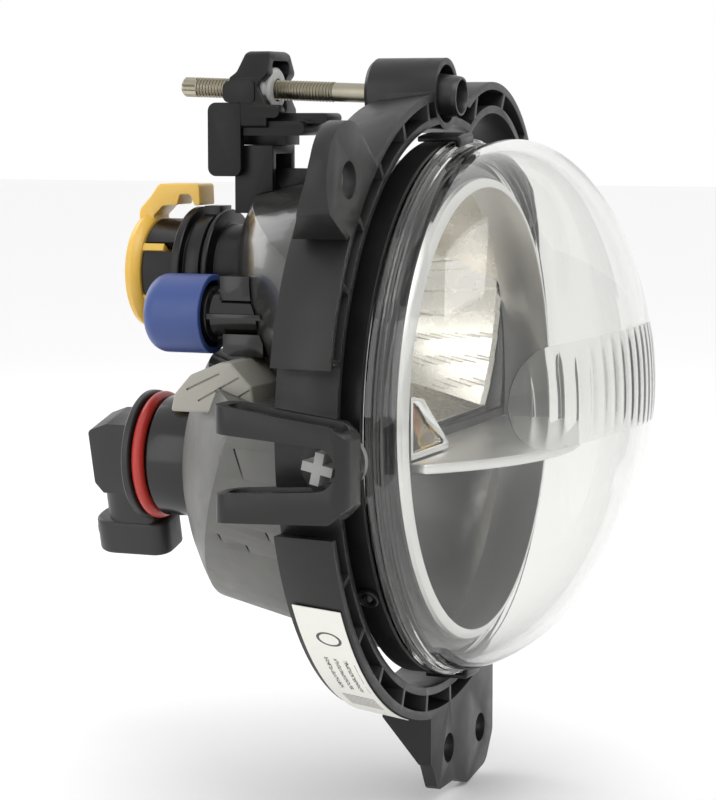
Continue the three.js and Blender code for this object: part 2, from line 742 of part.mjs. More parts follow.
// Bright shelf edge that bulges forward where the two bowls meet, and the window on it.
function dividerTrim() {
  const bulgeRadius = (lipReach ** 2 + lipBulge ** 2) / (2 * lipBulge);
  const bulgeCentre = bulgeRadius - lipBulge - lipForward;
  const halfAngle = Math.asin(lipReach / bulgeRadius);
  const outline = [[lipReach, housingRear - housingWall - gap], [-lipReach, housingRear - housingWall - gap]];
  for (let i = 0; i <= lipSteps; i += 1) {
    const angle = halfAngle * (2 * i / lipSteps - 1);
    outline.push([bulgeRadius * Math.sin(angle), bulgeCentre - bulgeRadius * Math.cos(angle)]);
  }
  addPiece("divider_lip", prismZ(outlineOf(outline), dividerFrontZ - lipThickness, dividerFrontZ), "chrome");
  const y0 = windowRear - windowThickness;
  const bottom = dividerFrontZ + 2 * gap;
  const opening = windowShape(bottom, windowRim);
  const frame = prismY(windowShape(bottom, 0), y0, windowRear)
    .subtract(prismY(opening, y0 - 1, windowRear + 1));
  addPiece("window_frame", frame, "chrome");
  const pane = windowShape(bottom, windowRim + gap);
  addPiece("amber_window", prismY(pane, y0 + 0.5, windowRear - 0.3), "amber");
}

// The window's outline, moved in by an inset: upright on the left, slanting on the right.
function windowShape(bottom, inset) {
  const left = -lipReach + 0.5 + inset;
  const right = left + windowWidth - 3.4 * inset;
  const top = bottom + windowHeight - inset;
  return outlineOf([
    [left, bottom + inset],
    [right, bottom + inset],
    [right - 0.48 * windowWidth, top - 0.4 * windowHeight],
    [right - 0.7 * windowWidth, top - 0.1 * windowHeight],
    [left, top],
  ]);
}

// ---- sockets and bulbs --------------------------------------------------------------

function signalSocket() {
  const collar = signalFlange - 0.5;
  const collarY = signalFlangeY - 8.1;
  let socket = revolve([
    [signalBore, signalSocketFront],
    [signalNeck, signalSocketFront],
    [signalNeck, collarY],
    [collar, collarY],
    [collar, collarY + 1.6],
    [collar - 0.8, collarY + 1.6],
    [collar - 0.8, signalFlangeY - 1],
    [signalFlange, signalFlangeY - 1],
    [signalFlange, signalFlangeY + 1],
    [signalSleeve, signalFlangeY + 1],
    [signalSleeve, signalSleeveRear],
    [signalBore, signalSleeveRear],
  ], smallRound, 0, signalZ);
  for (let i = 0; i < signalSlots; i += 1) {
    const slot = new THREE.BoxGeometry(signalSlotWidth, signalSlotLength * 2, signalSleeve * 2);
    slot.translate(0, 0, signalSleeve);
    slot.rotateY(i * 2 * Math.PI / signalSlots);
    slot.translate(0, signalSleeveRear, signalZ);
    socket = socket.subtract(solid(slot));
  }
  addPiece("signal_socket", socket, "blackPlastic");
}

function signalBulb() {
  const ringFront = signalSleeveRear + gap;
  const ringRear = ringFront + 4;
  const rim = signalSleeve + 0.4;
  let base = revolve([
    [signalBore - 1, ringFront],
    [rim, ringFront],
    [rim, ringRear - 1.4],
    [rim - 1.4, ringRear],
    [signalBore - 1, ringRear],
  ], smallRound, 0, signalZ);
  const hubRadius = signalBore - 2;
  const hubFront = signalSleeveRear - 11.5;
  base = base.add(rodY(hubRadius, hubFront, ringRear - 1, 0, signalZ, 32));
  const spokeLength = signalSleeve - hubRadius - 0.2;
  for (let i = 0; i < signalSlots; i += 1) {
    const spoke = new THREE.BoxGeometry(signalSlotWidth - 2 * gap, 6, spokeLength + 2);
    spoke.translate(0, 0, hubRadius + spokeLength / 2 - 1);
    spoke.rotateY(i * 2 * Math.PI / signalSlots);
    spoke.translate(0, signalSleeveRear - 2, signalZ);
    base = base.add(solid(spoke));
  }
  const latchTop = signalZ + signalFlange + 5.2;
  const latch = prismX(outlineOf([
    [ringFront, signalZ + signalSleeve - 2],
    [ringRear, signalZ + signalSleeve - 2],
    [ringRear, latchTop - 4],
    [ringRear - 4, latchTop],
    [signalFlangeY - 2.4, latchTop - 1],
    [signalFlangeY - 2.4, signalZ + signalFlange + gap],
    [signalFlangeY + 2.8, latchTop - 3],
    [ringFront, latchTop - 4],
  ]), -4, 4);
  base = base.add(latch);
  // connector socket in the rear of the base
  const plugHalfX = hubRadius - 3;
  const plugHalfZ = hubRadius - 4.4;
  const plugFloor = hubFront + 6;
  base = base.subtract(block(-plugHalfX, plugHalfX, plugFloor, ringRear + 2,
    signalZ - plugHalfZ, signalZ + plugHalfZ));
  addPiece("signal_base", base, "yellowNylon");
  const radius = signalGlassRadius;
  const glassTip = signalSocketFront - 9;
  const inside = 0.9 + radius / 2;
  const glass = revolve([
    [0, glassTip],
    [radius * 0.6, glassTip + 0.8],
    [radius, glassTip + 3.4],
    [radius, hubFront - gap],
    [inside, hubFront - gap],
    [inside, glassTip + 4.4],
    [0, glassTip + 2.2],
  ], 28, 0, signalZ);
  addPiece("signal_glass", glass, "amber");
  const filament = rodX(0.5, -1.8, 1.8, glassTip + 9, signalZ, 10);
  const leftLead = block(-1.9, -1.3, glassTip + 9, hubFront - gap, signalZ - 0.3, signalZ + 0.3);
  const rightLead = block(1.3, 1.9, glassTip + 9, hubFront - gap, signalZ - 0.3, signalZ + 0.3);
  addPiece("signal_filament", filament.add(leftLead).add(rightLead), "steel");
  const contactX = plugHalfX - 1.7;
  for (const [name, x] of [["signal_contact_left", -contactX], ["signal_contact_right", contactX]]) {
    const contact = block(x - 0.4, x + 0.4, plugFloor + gap, ringRear - 1.4, signalZ - 1.2, signalZ + 1.2);
    addPiece(name, contact, "steel");
  }
}

function fogSocket() {
  const socket = revolve([
    [fogBore, fogSocketFront],
    [fogNeck, fogSocketFront],
    [fogNeck, fogSocketRear],
    [fogBore, fogSocketRear],
  ], smallRound, 0, fogZ);
  addPiece("fog_socket", socket, "blackPlastic");
}

// The fog bulb is drawn about its own axis and then leaned over by the elbow's turn.
function fogBulb() {
  const bulb = new THREE.Group();
  bulb.position.set(0, 0, fogZ);
  bulb.rotation.y = THREE.MathUtils.degToRad(elbowTurn);
  group.add(bulb);
  const sealY = fogSocketRear + gap + sealSection;
  const flangeFront = sealY + sealSection + gap;
  const flangeRear = flangeFront + 2;
  const stemRadius = fogBore - stemRoom;
  const stemFront = fogSocketRear - 12.3;
  let base = rodY(fogBulbFlange, flangeFront, flangeRear, 0, 0, smallRound);
  base = base.add(rodY(stemRadius, stemFront, flangeFront + 0.5, 0, 0, 32));
  const elbowRear = flangeRear + elbowLength;
  const elbow = prismX(outlineOf([
    [flangeRear - 0.5, 9.5],
    [elbowRear - 5, 9.5],
    [elbowRear, 6.5],
    [elbowRear, -6.5],
    [elbowRear - 0.5, -8],
    [elbowRear - 0.5, hoodTop - 0.1],
    [flangeRear - 0.6, hoodTop - 0.1],
    [flangeRear - 0.6, -10],
  ]), -elbowHalfWidth, elbowHalfWidth);
  base = base.add(elbow);
  const hoodBottom = hoodTop - hoodLength;
  const hoodFront = flangeRear - 4.5;
  const hoodRear = elbowRear + hoodReach;
  const hood = prismZ(roundedShape(-hoodHalfWidth, hoodHalfWidth, hoodFront, hoodRear, 4.5),
    hoodBottom, hoodTop, 5);
  const cavity = prismZ(roundedShape(-hoodHalfWidth + hoodWall, hoodHalfWidth - hoodWall,
    hoodFront + hoodWall, hoodRear - hoodWall, 3), hoodBottom - 1, hoodTop - hoodWall, 4);
  base = base.add(hood).subtract(cavity);
  addPiece("fog_bulb_base", base, "blackPlastic", bulb);
  const seal = new THREE.TorusGeometry(fogBulbFlange - sealSection - 0.2, sealSection, 8, smallRound);
  seal.rotateX(Math.PI / 2);
  seal.translate(0, sealY, 0);
  addPiece("fog_seal", solid(seal), "redSeal", bulb);
  const glassWall = 1;
  const collarOuter = stemRadius - 1.4;
  const collarInner = fogGlassRadius + gap + 0.1;
  let collar = revolve([
    [collarInner, stemFront - 6],
    [collarOuter, stemFront - 6],
    [collarOuter, stemFront - gap],
    [collarInner, stemFront - gap],
  ], 32);
  for (let i = 0; i < 3; i += 1) {
    const lug = new THREE.BoxGeometry(4, 1.2, 5);
    lug.translate(0, stemFront - 2, collarOuter + 0.6);
    lug.rotateY(i * 2 * Math.PI / 3);
    collar = collar.add(solid(lug).subtract(rodY(collarInner, stemFront - 8, stemFront, 0, 0, 32)));
  }
  addPiece("fog_collar", collar, "steel", bulb);
  const radius = fogGlassRadius;
  const glassTip = stemFront - 29;
  const glass = revolve([
    [0, glassTip],
    [radius * 0.75, glassTip + 1.4],
    [radius, glassTip + 4],
    [radius, stemFront - gap],
    [radius - glassWall, stemFront - gap],
    [radius - glassWall, glassTip + 4.5],
    [0, glassTip + 2.4],
  ], 28);
  addPiece("fog_glass", glass, "glass", bulb);
  const coilFront = glassTip + 9;
  const coil = rodY(0.9, coilFront, coilFront + 6, 0, 0, 12);
  const frontLead = block(-0.4, 0.4, coilFront - 1, coilFront + 1, 0, 3);
  const sideLead = block(-0.4, 0.4, coilFront - 1, stemFront - gap, 2.4, 3.2);
  const backLead = block(-0.4, 0.4, coilFront + 5, stemFront - gap, -0.4, 0.4);
  addPiece("fog_filament", coil.add(frontLead).add(sideLead).add(backLead), "steel", bulb);
  const middle = (hoodFront + hoodRear) / 2;
  for (const [name, y] of [["fog_terminal_front", middle - 3.1], ["fog_terminal_rear", middle + 3.1]]) {
    const blade = block(-1.4, 1.4, y - 0.4, y + 0.4, hoodBottom + 2, hoodTop - hoodWall - 2 * gap);
    addPiece(name, blade, "steel", bulb);
  }
}

// ---- lamp: bracket, tower and vent --------------------------------------------------

function nutBracket() {
  const half = nutLength / 2 + 0.85;
  const y0 = nutY - half;
  const y1 = nutY + half;
  const side = nutReach + 2.2;
  const top = nutZ + side;
  const bottom = nutZ - side;
  let loop = prismY(outlineOf([
    [-side, bottom],
    [side, bottom],
    [side, nutZ + 2.2],
    [side / 2, top],
    [-side / 2, top],
    [-side, nutZ + 2.2],
  ]), y0, y1);
  loop = loop.subtract(rodY(nutRadius + 2 * gap, y0 - 1, y1 + 1, 0, nutZ, 24));
  loop = loop.subtract(rodX(trunnion + gap, -nutReach - 0.4, nutReach + 0.4, nutY, nutZ, 20));
  const flag = block(-side - 0.2, -side + 1.9, nutY + 2, nutY + 11.7, nutZ - 20.4, bottom + 1.5);
  const shelf = block(-7.4, 7.4, nutY - 13.5, y1, bottom - 1.8, bottom + 1.4);
  const fin = block(-4.4, 4.4, nutY - 18, nutY - 5, bottom + 1.2, bottom + 3);
  const foot = block(-4, 4, nutY - 7.5, nutY + 3.5, towerTop() + gap, bottom);
  addPiece("nut_bracket", loop.add(flag).add(shelf).add(fin).add(foot), "blackPlastic");
}

function towerTop() {
  return nutZ - 12.9;
}

function housingTower() {
  const post = block(-6.6, 6.6, nutY - 5.2, nutY + 4.3, signalZ + 5, towerTop());
  const web = block(-2, 2, housingRear + 3, nutY - 1.5, towerTop() - 11.2, towerTop() - 3);
  const socket = rodY(signalFlange + gap, signalBowlRear, signalSleeveRear, 0, signalZ, smallRound);
  addPiece("housing_tower", post.add(web).subtract(signalKeepOut()).subtract(socket), "blackPlastic");
}

function vent() {
  const tubeFront = capFront - 12.7;
  const tubeRear = capRear - 4;
  const finReach = ventTube + 2.2;
  let tube = rodY(ventTube, tubeFront, tubeRear, ventX, ventZ, 28);
  tube = tube.add(rodY(capRadius - capWall - 1.2, capFront - 0.6, capFront + 4, ventX, ventZ, 32));
  tube = tube.add(block(ventX - finReach, ventX + finReach, tubeFront + 4, capFront - 1,
    ventZ - 0.6, ventZ + 0.6));
  tube = tube.add(block(ventX - 0.6, ventX + 0.6, tubeFront + 4, capFront - 1,
    ventZ - finReach, ventZ + finReach));
  const bore = rodY(ventTube - ventWall, tubeFront - 1, tubeRear + 1, ventX, ventZ, 24);
  const below = halfSpace(false, gap);
  addPiece("vent_tube", tube.subtract(bore).subtract(signalKeepOut()).subtract(below), "blackPlastic");
  const cap = revolve([
    [capRadius - capWall, capFront],
    [capRadius, capFront],
    [capRadius, capRear - 4],
    [capRadius - 1.2, capRear - 1.2],
    [capRadius - 4, capRear],
    [0, capRear],
    [0, capRear - capWall],
    [capRadius - 4.2, capRear - capWall],
    [capRadius - capWall, capRear - 4.4],
  ], smallRound, ventX, ventZ);
  addPiece("vent_cap", cap, "blueCap");
}

// ---- the whole object ---------------------------------------------------------------

carrierFrame();
ratingLabel();
adjuster();
housingRing();
lens();
lensClip("lens_clip_top", -6);
lensClip("lens_clip_bottom", 180);
reflector("signal_reflector", true, signalNeck, signalBowlRear, signalBowlCurve, signalZ, "smokedBowl");
reflector("fog_reflector", false, fogNeck, fogBowlRear, fogBowlCurve, fogZ, "greyBowl");
dividerTrim();
pivotPin("pivot_pin_near", -1);
pivotPin("pivot_pin_far", 1);
signalSocket();
signalBulb();
fogSocket();
fogBulb();
nutBracket();
housingTower();
vent();

export default group;
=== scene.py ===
import math
import bmesh
import bpy
from mathutils import Matrix, Vector


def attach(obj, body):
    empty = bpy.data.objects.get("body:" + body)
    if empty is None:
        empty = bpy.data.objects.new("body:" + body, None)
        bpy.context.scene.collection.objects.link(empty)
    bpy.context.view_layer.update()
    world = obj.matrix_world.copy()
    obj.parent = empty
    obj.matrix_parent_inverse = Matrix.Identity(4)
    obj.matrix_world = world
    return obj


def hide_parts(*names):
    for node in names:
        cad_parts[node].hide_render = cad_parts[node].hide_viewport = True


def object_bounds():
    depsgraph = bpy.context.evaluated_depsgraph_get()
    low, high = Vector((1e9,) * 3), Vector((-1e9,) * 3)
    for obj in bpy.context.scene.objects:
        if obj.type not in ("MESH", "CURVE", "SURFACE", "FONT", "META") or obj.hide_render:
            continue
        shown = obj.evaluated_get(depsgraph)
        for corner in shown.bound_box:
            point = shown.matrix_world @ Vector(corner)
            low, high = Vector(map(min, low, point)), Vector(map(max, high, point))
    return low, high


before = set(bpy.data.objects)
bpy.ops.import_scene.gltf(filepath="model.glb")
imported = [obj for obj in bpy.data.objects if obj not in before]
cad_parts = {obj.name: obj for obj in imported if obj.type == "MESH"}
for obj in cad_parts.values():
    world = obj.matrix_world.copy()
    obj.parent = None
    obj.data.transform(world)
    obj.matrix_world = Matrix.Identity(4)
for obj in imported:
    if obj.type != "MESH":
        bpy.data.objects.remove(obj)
cad_low, cad_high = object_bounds()
scene = bpy.context.scene

# ---- camera --------------------------------------------------------------------------
# A long lens low on the lamp's left, so that the side of the carrier ring, the backs of
# both chambers and the domed lens are all in view.
camera_data = bpy.data.cameras.new("camera")
camera_data.sensor_width = 36
camera_data.lens = 117
camera_data.clip_start = 0.05
camera_data.clip_end = 20
camera = bpy.data.objects.new("camera", camera_data)
scene.collection.objects.link(camera)
camera.matrix_world = Matrix((
    (0.36974676, 0.10196, -0.92352150, -0.559566),
    (-0.92913257, 0.04057, -0.36751384, -0.201018),
    (0.0, 0.99396, 0.10973431, 0.066993),
    (0, 0, 0, 1),
))
scene.camera = camera

# ---- studio --------------------------------------------------------------------------
# White surroundings with a large soft box above the lens, a tall one beside the carrier
# and a strip behind, over a plain sheet of white paper that the lamp's tab stands on.
world = bpy.data.worlds.new("studio")
scene.world = world
scene.view_settings.view_transform = "Standard"
world.use_nodes = True
world.node_tree.nodes["Background"].inputs["Color"].default_value = (1, 1, 1, 1)
world.node_tree.nodes["Background"].inputs["Strength"].default_value = 1.0


def soft_box(name, place, target, width, height, power):
    data = bpy.data.lights.new(name, "AREA")
    data.shape = "RECTANGLE"
    data.size = width
    data.size_y = height
    data.energy = power
    lamp = bpy.data.objects.new(name, data)
    scene.collection.objects.link(lamp)
    lamp.location = place
    lamp.rotation_euler = (Vector(target) - Vector(place)).to_track_quat("-Z", "Y").to_euler()


soft_box("box_above", (-0.35, -0.35, 0.75), (0, 0, 0), 0.6, 0.6, 3)
soft_box("box_side", (-0.8, 0.45, 0.25), (0, 0.03, 0), 0.4, 0.8, 1.2)
soft_box("strip_behind", (0.3, 0.7, 0.35), (0, 0, 0), 0.3, 0.7, 1.2)

paper_mesh = bpy.data.meshes.new("paper")
paper_z = cad_low.z - 0.0005
paper_mesh.from_pydata(
    [(-5, -5, paper_z), (5, -5, paper_z), (5, 5, paper_z), (-5, 5, paper_z)], [], [(0, 1, 2, 3)]
)
paper = bpy.data.objects.new("paper", paper_mesh)
scene.collection.objects.link(paper)
paper_look = bpy.data.materials.new("white_paper")
paper_look.use_nodes = True
paper_shader = paper_look.node_tree.nodes["Principled BSDF"]
paper_shader.inputs["Base Color"].default_value = (0.93, 0.93, 0.93, 1)
paper_shader.inputs["Roughness"].default_value = 0.95
paper_mesh.materials.append(paper_look)

# ---- carrier ring --------------------------------------------------------------------
# The carrier is one moulding in dark grey glass-filled nylon: a pocketed ring with a
# bulge at the upper right, a screw ear, a bottom tab, the adjuster's boss and a pair of
# sprung arms on each side. Sizes are in millimetres and become metres when it is put in.
ring_inner = 64.6
ring_outer = 72.0
ring_depth = 14.0
ring_draft = 1.8
ring_wall = 1.8
pocket_depth = 10.0
pocket_count = 27
rib_width = 1.3
bulge_x, bulge_z = 32.57, 39.37
bulge_outer = 35.0
bulge_inner = 27.6
ear_x, ear_z, ear_radius = -59.49, 53.19, 12.3
boss_z = 71.35
boss_radius = 8.1
pivot_y, pivot_z = 0.7, -5.1


def loose(name, vertices, faces):
    """A new object from points and faces, with outward normals."""
    mesh = bpy.data.meshes.new(name)
    mesh.from_pydata([tuple(v) for v in vertices], [], faces)
    shape = bmesh.new()
    shape.from_mesh(mesh)
    bmesh.ops.remove_doubles(shape, verts=shape.verts, dist=1e-4)
    bmesh.ops.recalc_face_normals(shape, faces=shape.faces)
    shape.to_mesh(mesh)
    shape.free()
    thing = bpy.data.objects.new(name, mesh)
    scene.collection.objects.link(thing)
    return thing


def turned(outline, x=0.0, z=0.0, facets=96):
    """An outline of (radius, y) turned about an axis along Y through x, z."""
    rings = []
    for k in range(facets):
        a = 2 * math.pi * k / facets
        rings.append([(x + r * math.cos(a), y, z + r * math.sin(a)) for r, y in outline])
    count = len(outline)
    points = [p for ring in rings for p in ring]
    faces = []
    for k in range(facets):
        n = (k + 1) % facets
        for i in range(count):
            j = (i + 1) % count
            if outline[i][0] < 1e-6 and outline[j][0] < 1e-6:
                continue
            corners = [k * count + i, k * count + j, n * count + j, n * count + i]
            if outline[i][0] < 1e-6:
                corners = corners[:3]
            elif outline[j][0] < 1e-6:
                corners = [corners[0], corners[1], corners[3]]
            faces.append(corners)
    return loose("turned", points, faces)


def hole(radius, x, z, y0, y1, facets=48):
    """A plain round bar along Y, mostly for cutting."""
    return turned([(0, y0), (radius, y0), (radius, y1), (0, y1)], x, z, facets)


def turned_x(outline, y, z, facets=48):
    """An outline of (radius, x) turned about an axis along X through y, z."""
    thing = turned(outline, facets=facets)
    thing.data.transform(Matrix(((0, 1, 0, 0), (1, 0, 0, y), (0, 0, 1, z), (0, 0, 0, 1))))
    thing.data.flip_normals()
    return thing


def prism(outline, low, high, along="y"):
    """A flat outline drawn out along an axis. The outline's two numbers are the others."""
    count = len(outline)
    place = {
        "x": lambda a, b, d: (d, a, b),
        "y": lambda a, b, d: (a, d, b),
        "z": lambda a, b, d: (a, b, d),
    }[along]
    points = [place(a, b, low) for a, b in outline] + [place(a, b, high) for a, b in outline]
    faces = [list(range(count)), list(range(2 * count - 1, count - 1, -1))]
    for i in range(count):
        j = (i + 1) % count
        faces.append([i, j, count + j, count + i])
    return loose("prism", points, faces)


def ring_of_rows(rings, count):
    """Faces of a closed ring of closed rows of points."""
    return [
        [k * count + i, k * count + (i + 1) % count,
         (k + 1) % rings * count + (i + 1) % count, (k + 1) % rings * count + i]
        for k in range(rings) for i in range(count)]


def sheet_faces(columns, rows, turn_first=False):
    """Faces of a closed two-layered sheet whose points run by column, row and layer."""
    def at(i, j, k):
        return (i * (rows + 1) + j) * 2 + k
    faces = []
    for i in range(columns):
        for j in range(rows):
            for k in (0, 1):
                quad = [at(i, j, k), at(i + 1, j, k), at(i + 1, j + 1, k), at(i, j + 1, k)]
                faces.append(quad[::-1] if turn_first and k == 0 else quad)
        for j in (0, rows):
            faces.append([at(i, j, 0), at(i + 1, j, 0), at(i + 1, j, 1), at(i, j, 1)])
    for j in range(rows):
        for i in (0, columns):
            faces.append([at(i, j, 0), at(i, j + 1, 0), at(i, j + 1, 1), at(i, j, 1)])
    return faces


def plate(corners, low, high, along="y"):
    """A prism with rounded corners."""
    return prism(rounded(corners), low, high, along)


def brick(x0, x1, y0, y1, z0, z1):
    return prism([(x0, z0), (x1, z0), (x1, z1), (x0, z1)], y0, y1)


def disc_points(a, b, radius, facets=96):
    return [
        (a + radius * math.cos(2 * math.pi * k / facets), b + radius * math.sin(2 * math.pi * k / facets))
        for k in range(facets)
    ]


def rounded(corners, steps=6):
    """A polygon whose corners, given as (a, b, radius), are turned into arcs."""
    outline = []
    count = len(corners)
    for i in range(count):
        here = Vector(corners[i][:2])
        radius = corners[i][2] if len(corners[i]) > 2 else 0
        if radius <= 0:
            outline.append(tuple(here))
            continue
        before = (Vector(corners[i - 1][:2]) - here).normalized()
        after = (Vector(corners[(i + 1) % count][:2]) - here).normalized()
        half = math.acos(max(-1, min(1, before.dot(after)))) / 2
        reach = radius / math.tan(half)
        centre = here + (before + after).normalized() * (radius / math.sin(half))
        start = here + before * reach - centre
        end = here + after * reach - centre
        sweep = math.atan2(start.x * end.y - start.y * end.x, start.dot(end))
        for k in range(steps + 1):
            t = sweep * k / steps
            outline.append((
                centre.x + start.x * math.cos(t) - start.y * math.sin(t),
                centre.y + start.x * math.sin(t) + start.y * math.cos(t),
            ))
    return outline


def settle(thing):
    """Applies an object's modifiers to its mesh."""
    graph = bpy.context.evaluated_depsgraph_get()
    made = bpy.data.meshes.new_from_object(thing.evaluated_get(graph))
    thing.modifiers.clear()
    thing.data = made
    return thing


def combine(thing, how, *others):
    """Joins, cuts or overlaps solids: how is UNION, DIFFERENCE or INTERSECT."""
    for other in others:
        change = thing.modifiers.new("combine", "BOOLEAN")
        change.operation = how
        change.solver = "MANIFOLD"
        change.object = other
        settle(thing)
        bpy.data.objects.remove(other)
    return thing


def cut(thing, *others):
    return combine(thing, "DIFFERENCE", *others)


def join(thing, *others):
    return combine(thing, "UNION", *others)


def trim(thing, *others):
    return combine(thing, "INTERSECT", *others)


def eased(thing, width=0.35, segments=2, angle=32):
    """Rounds the hard edges, as a mould's edges are."""
    shape = bmesh.new()
    shape.from_mesh(thing.data)
    bmesh.ops.remove_doubles(shape, verts=shape.verts, dist=2e-3)
    bmesh.ops.dissolve_limit(shape, angle_limit=math.radians(0.6), verts=shape.verts, edges=shape.edges)
    shape.to_mesh(thing.data)
    shape.free()
    edge = thing.modifiers.new("eased", "BEVEL")
    edge.width = width
    edge.segments = segments
    edge.limit_method = "ANGLE"
    edge.angle_limit = math.radians(angle)
    edge.use_clamp_overlap = True
    edge.miter_outer = "MITER_ARC"
    return settle(thing)


def put(thing, name, look, body, nodes=(), smooth=35):
    """Names a finished piece, brings it to metres, and hands it to its body."""
    thing.name = name
    thing.data.name = name
    thing.data.transform(Matrix.Scale(0.001, 4))
    thing.data.materials.clear()
    thing.data.materials.append(look)
    thing.data.shade_smooth()
    thing.data.set_sharp_from_angle(angle=math.radians(smooth))
    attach(thing, body)
    if nodes:
        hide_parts(*nodes)
    return thing


def ring_of_copies(thing, count, start=0.0, z=0.0):
    """Copies a part evenly round an axis along Y with Geometry Nodes."""
    tree = bpy.data.node_groups.new("ring_of_copies", "GeometryNodeTree")
    for label, kind in (("Part", "Geometry"), ("Copies", "Int"), ("Start", "Float"), ("Centre", "Vector")):
        tree.interface.new_socket(label, in_out="INPUT", socket_type="NodeSocket" + kind)
    tree.interface.new_socket("Ring", in_out="OUTPUT", socket_type="NodeSocketGeometry")
    add = tree.nodes.new
    link = tree.links.new
    given = add("NodeGroupInput")
    result = add("NodeGroupOutput")
    points = add("GeometryNodePoints")
    number = add("GeometryNodeInputIndex")
    step = add("ShaderNodeMath")
    step.operation = "DIVIDE"
    step.inputs[0].default_value = 2 * math.pi
    turn = add("ShaderNodeMath")
    turn.operation = "MULTIPLY_ADD"
    angles = add("ShaderNodeCombineXYZ")
    copies = add("GeometryNodeInstanceOnPoints")
    real = add("GeometryNodeRealizeInstances")
    finish = add("GeometryNodeSetMaterial")
    link(given.outputs["Copies"], points.inputs["Count"])
    link(given.outputs["Centre"], points.inputs["Position"])
    link(given.outputs["Copies"], step.inputs[1])
    link(number.outputs["Index"], turn.inputs[0])
    link(step.outputs[0], turn.inputs[1])
    link(given.outputs["Start"], turn.inputs[2])
    link(turn.outputs[0], angles.inputs["Y"])
    link(points.outputs[0], copies.inputs["Points"])
    link(given.outputs["Part"], copies.inputs["Instance"])
    link(angles.outputs[0], copies.inputs["Rotation"])
    link(copies.outputs["Instances"], real.inputs[0])
    link(real.outputs[0], finish.inputs["Geometry"])
    link(finish.outputs[0], result.inputs[0])
    repeat = thing.modifiers.new("ring", "NODES")
    repeat.node_group = tree
    given_sizes = {"Copies": count, "Start": math.radians(start), "Centre": (0.0, 0.0, z)}
    for socket in tree.interface.items_tree:
        if socket.in_out == "INPUT" and socket.name in given_sizes:
            repeat[socket.identifier] = given_sizes[socket.name]
    return settle(thing)


def arithmetic(tree, operation, *values):
    """One arithmetic node; numbers are set on it and sockets are linked to it."""
    node = tree.nodes.new("ShaderNodeMath")
    node.operation = operation
    for socket, value in zip(node.inputs, values):
        if isinstance(value, (int, float)):
            socket.default_value = value
        else:
            tree.links.new(value, socket)
    return node.outputs[0]


def noise_on(tree, place, scale, detail):
    """A noise texture laid over the piece by the given socket."""
    noise = tree.nodes.new("ShaderNodeTexNoise")
    noise.inputs["Scale"].default_value = scale
    noise.inputs["Detail"].default_value = detail
    tree.links.new(place, noise.inputs["Vector"])
    return noise


def stretched(tree, value, low, high):
    """Stretches the values between low and high; the caller sets what they become."""
    node = tree.nodes.new("ShaderNodeMapRange")
    node.inputs["From Min"].default_value = low
    node.inputs["From Max"].default_value = high
    tree.links.new(value, node.inputs["Value"])
    return node


def moulded_group():
    """Colour drift, uneven gloss and fine mould grain, shared by the plastic parts."""
    tree = bpy.data.node_groups.new("mould_skin", "ShaderNodeTree")
    for label, kind, value in (
        ("Colour", "NodeSocketColor", (0.5, 0.5, 0.5, 1)),
        ("Drift", "NodeSocketFloat", 0.1),
        ("Gloss", "NodeSocketFloat", 0.4),
        ("Grain", "NodeSocketFloat", 2200.0),
        ("Depth", "NodeSocketFloat", 0.1),
    ):
        socket = tree.interface.new_socket(label, in_out="INPUT", socket_type=kind)
        socket.default_value = value
    for label, kind in (("Colour", "NodeSocketColor"), ("Roughness", "NodeSocketFloat"),
                        ("Normal", "NodeSocketVector")):
        tree.interface.new_socket(label, in_out="OUTPUT", socket_type=kind)
    link = tree.links.new
    given = tree.nodes.new("NodeGroupInput").outputs
    result = tree.nodes.new("NodeGroupOutput").inputs
    place = tree.nodes.new("ShaderNodeTexCoord").outputs["Object"]
    clouds = noise_on(tree, place, 38, 5)
    clouds.inputs["Roughness"].default_value = 0.6
    shade = arithmetic(tree, "SUBTRACT", clouds.outputs["Fac"], 0.5)
    tint = tree.nodes.new("ShaderNodeVectorMath")
    tint.operation = "SCALE"
    link(given["Colour"], tint.inputs[0])
    link(arithmetic(tree, "MULTIPLY_ADD", shade, given["Drift"], 1.0), tint.inputs["Scale"])
    link(tint.outputs[0], result["Colour"])
    rough = stretched(tree, noise_on(tree, place, 240, 6).outputs["Fac"], 0.3, 0.7)
    link(arithmetic(tree, "MULTIPLY", given["Gloss"], 0.88), rough.inputs["To Min"])
    link(arithmetic(tree, "MULTIPLY", given["Gloss"], 1.14), rough.inputs["To Max"])
    link(rough.outputs["Result"], result["Roughness"])
    grain = noise_on(tree, place, 2200, 3)
    bump = tree.nodes.new("ShaderNodeBump")
    bump.inputs["Distance"].default_value = 0.00008
    link(given["Grain"], grain.inputs["Scale"])
    link(given["Depth"], bump.inputs["Strength"])
    link(grain.outputs["Fac"], bump.inputs["Height"])
    link(bump.outputs["Normal"], result["Normal"])
    return tree


mould_skin = moulded_group()


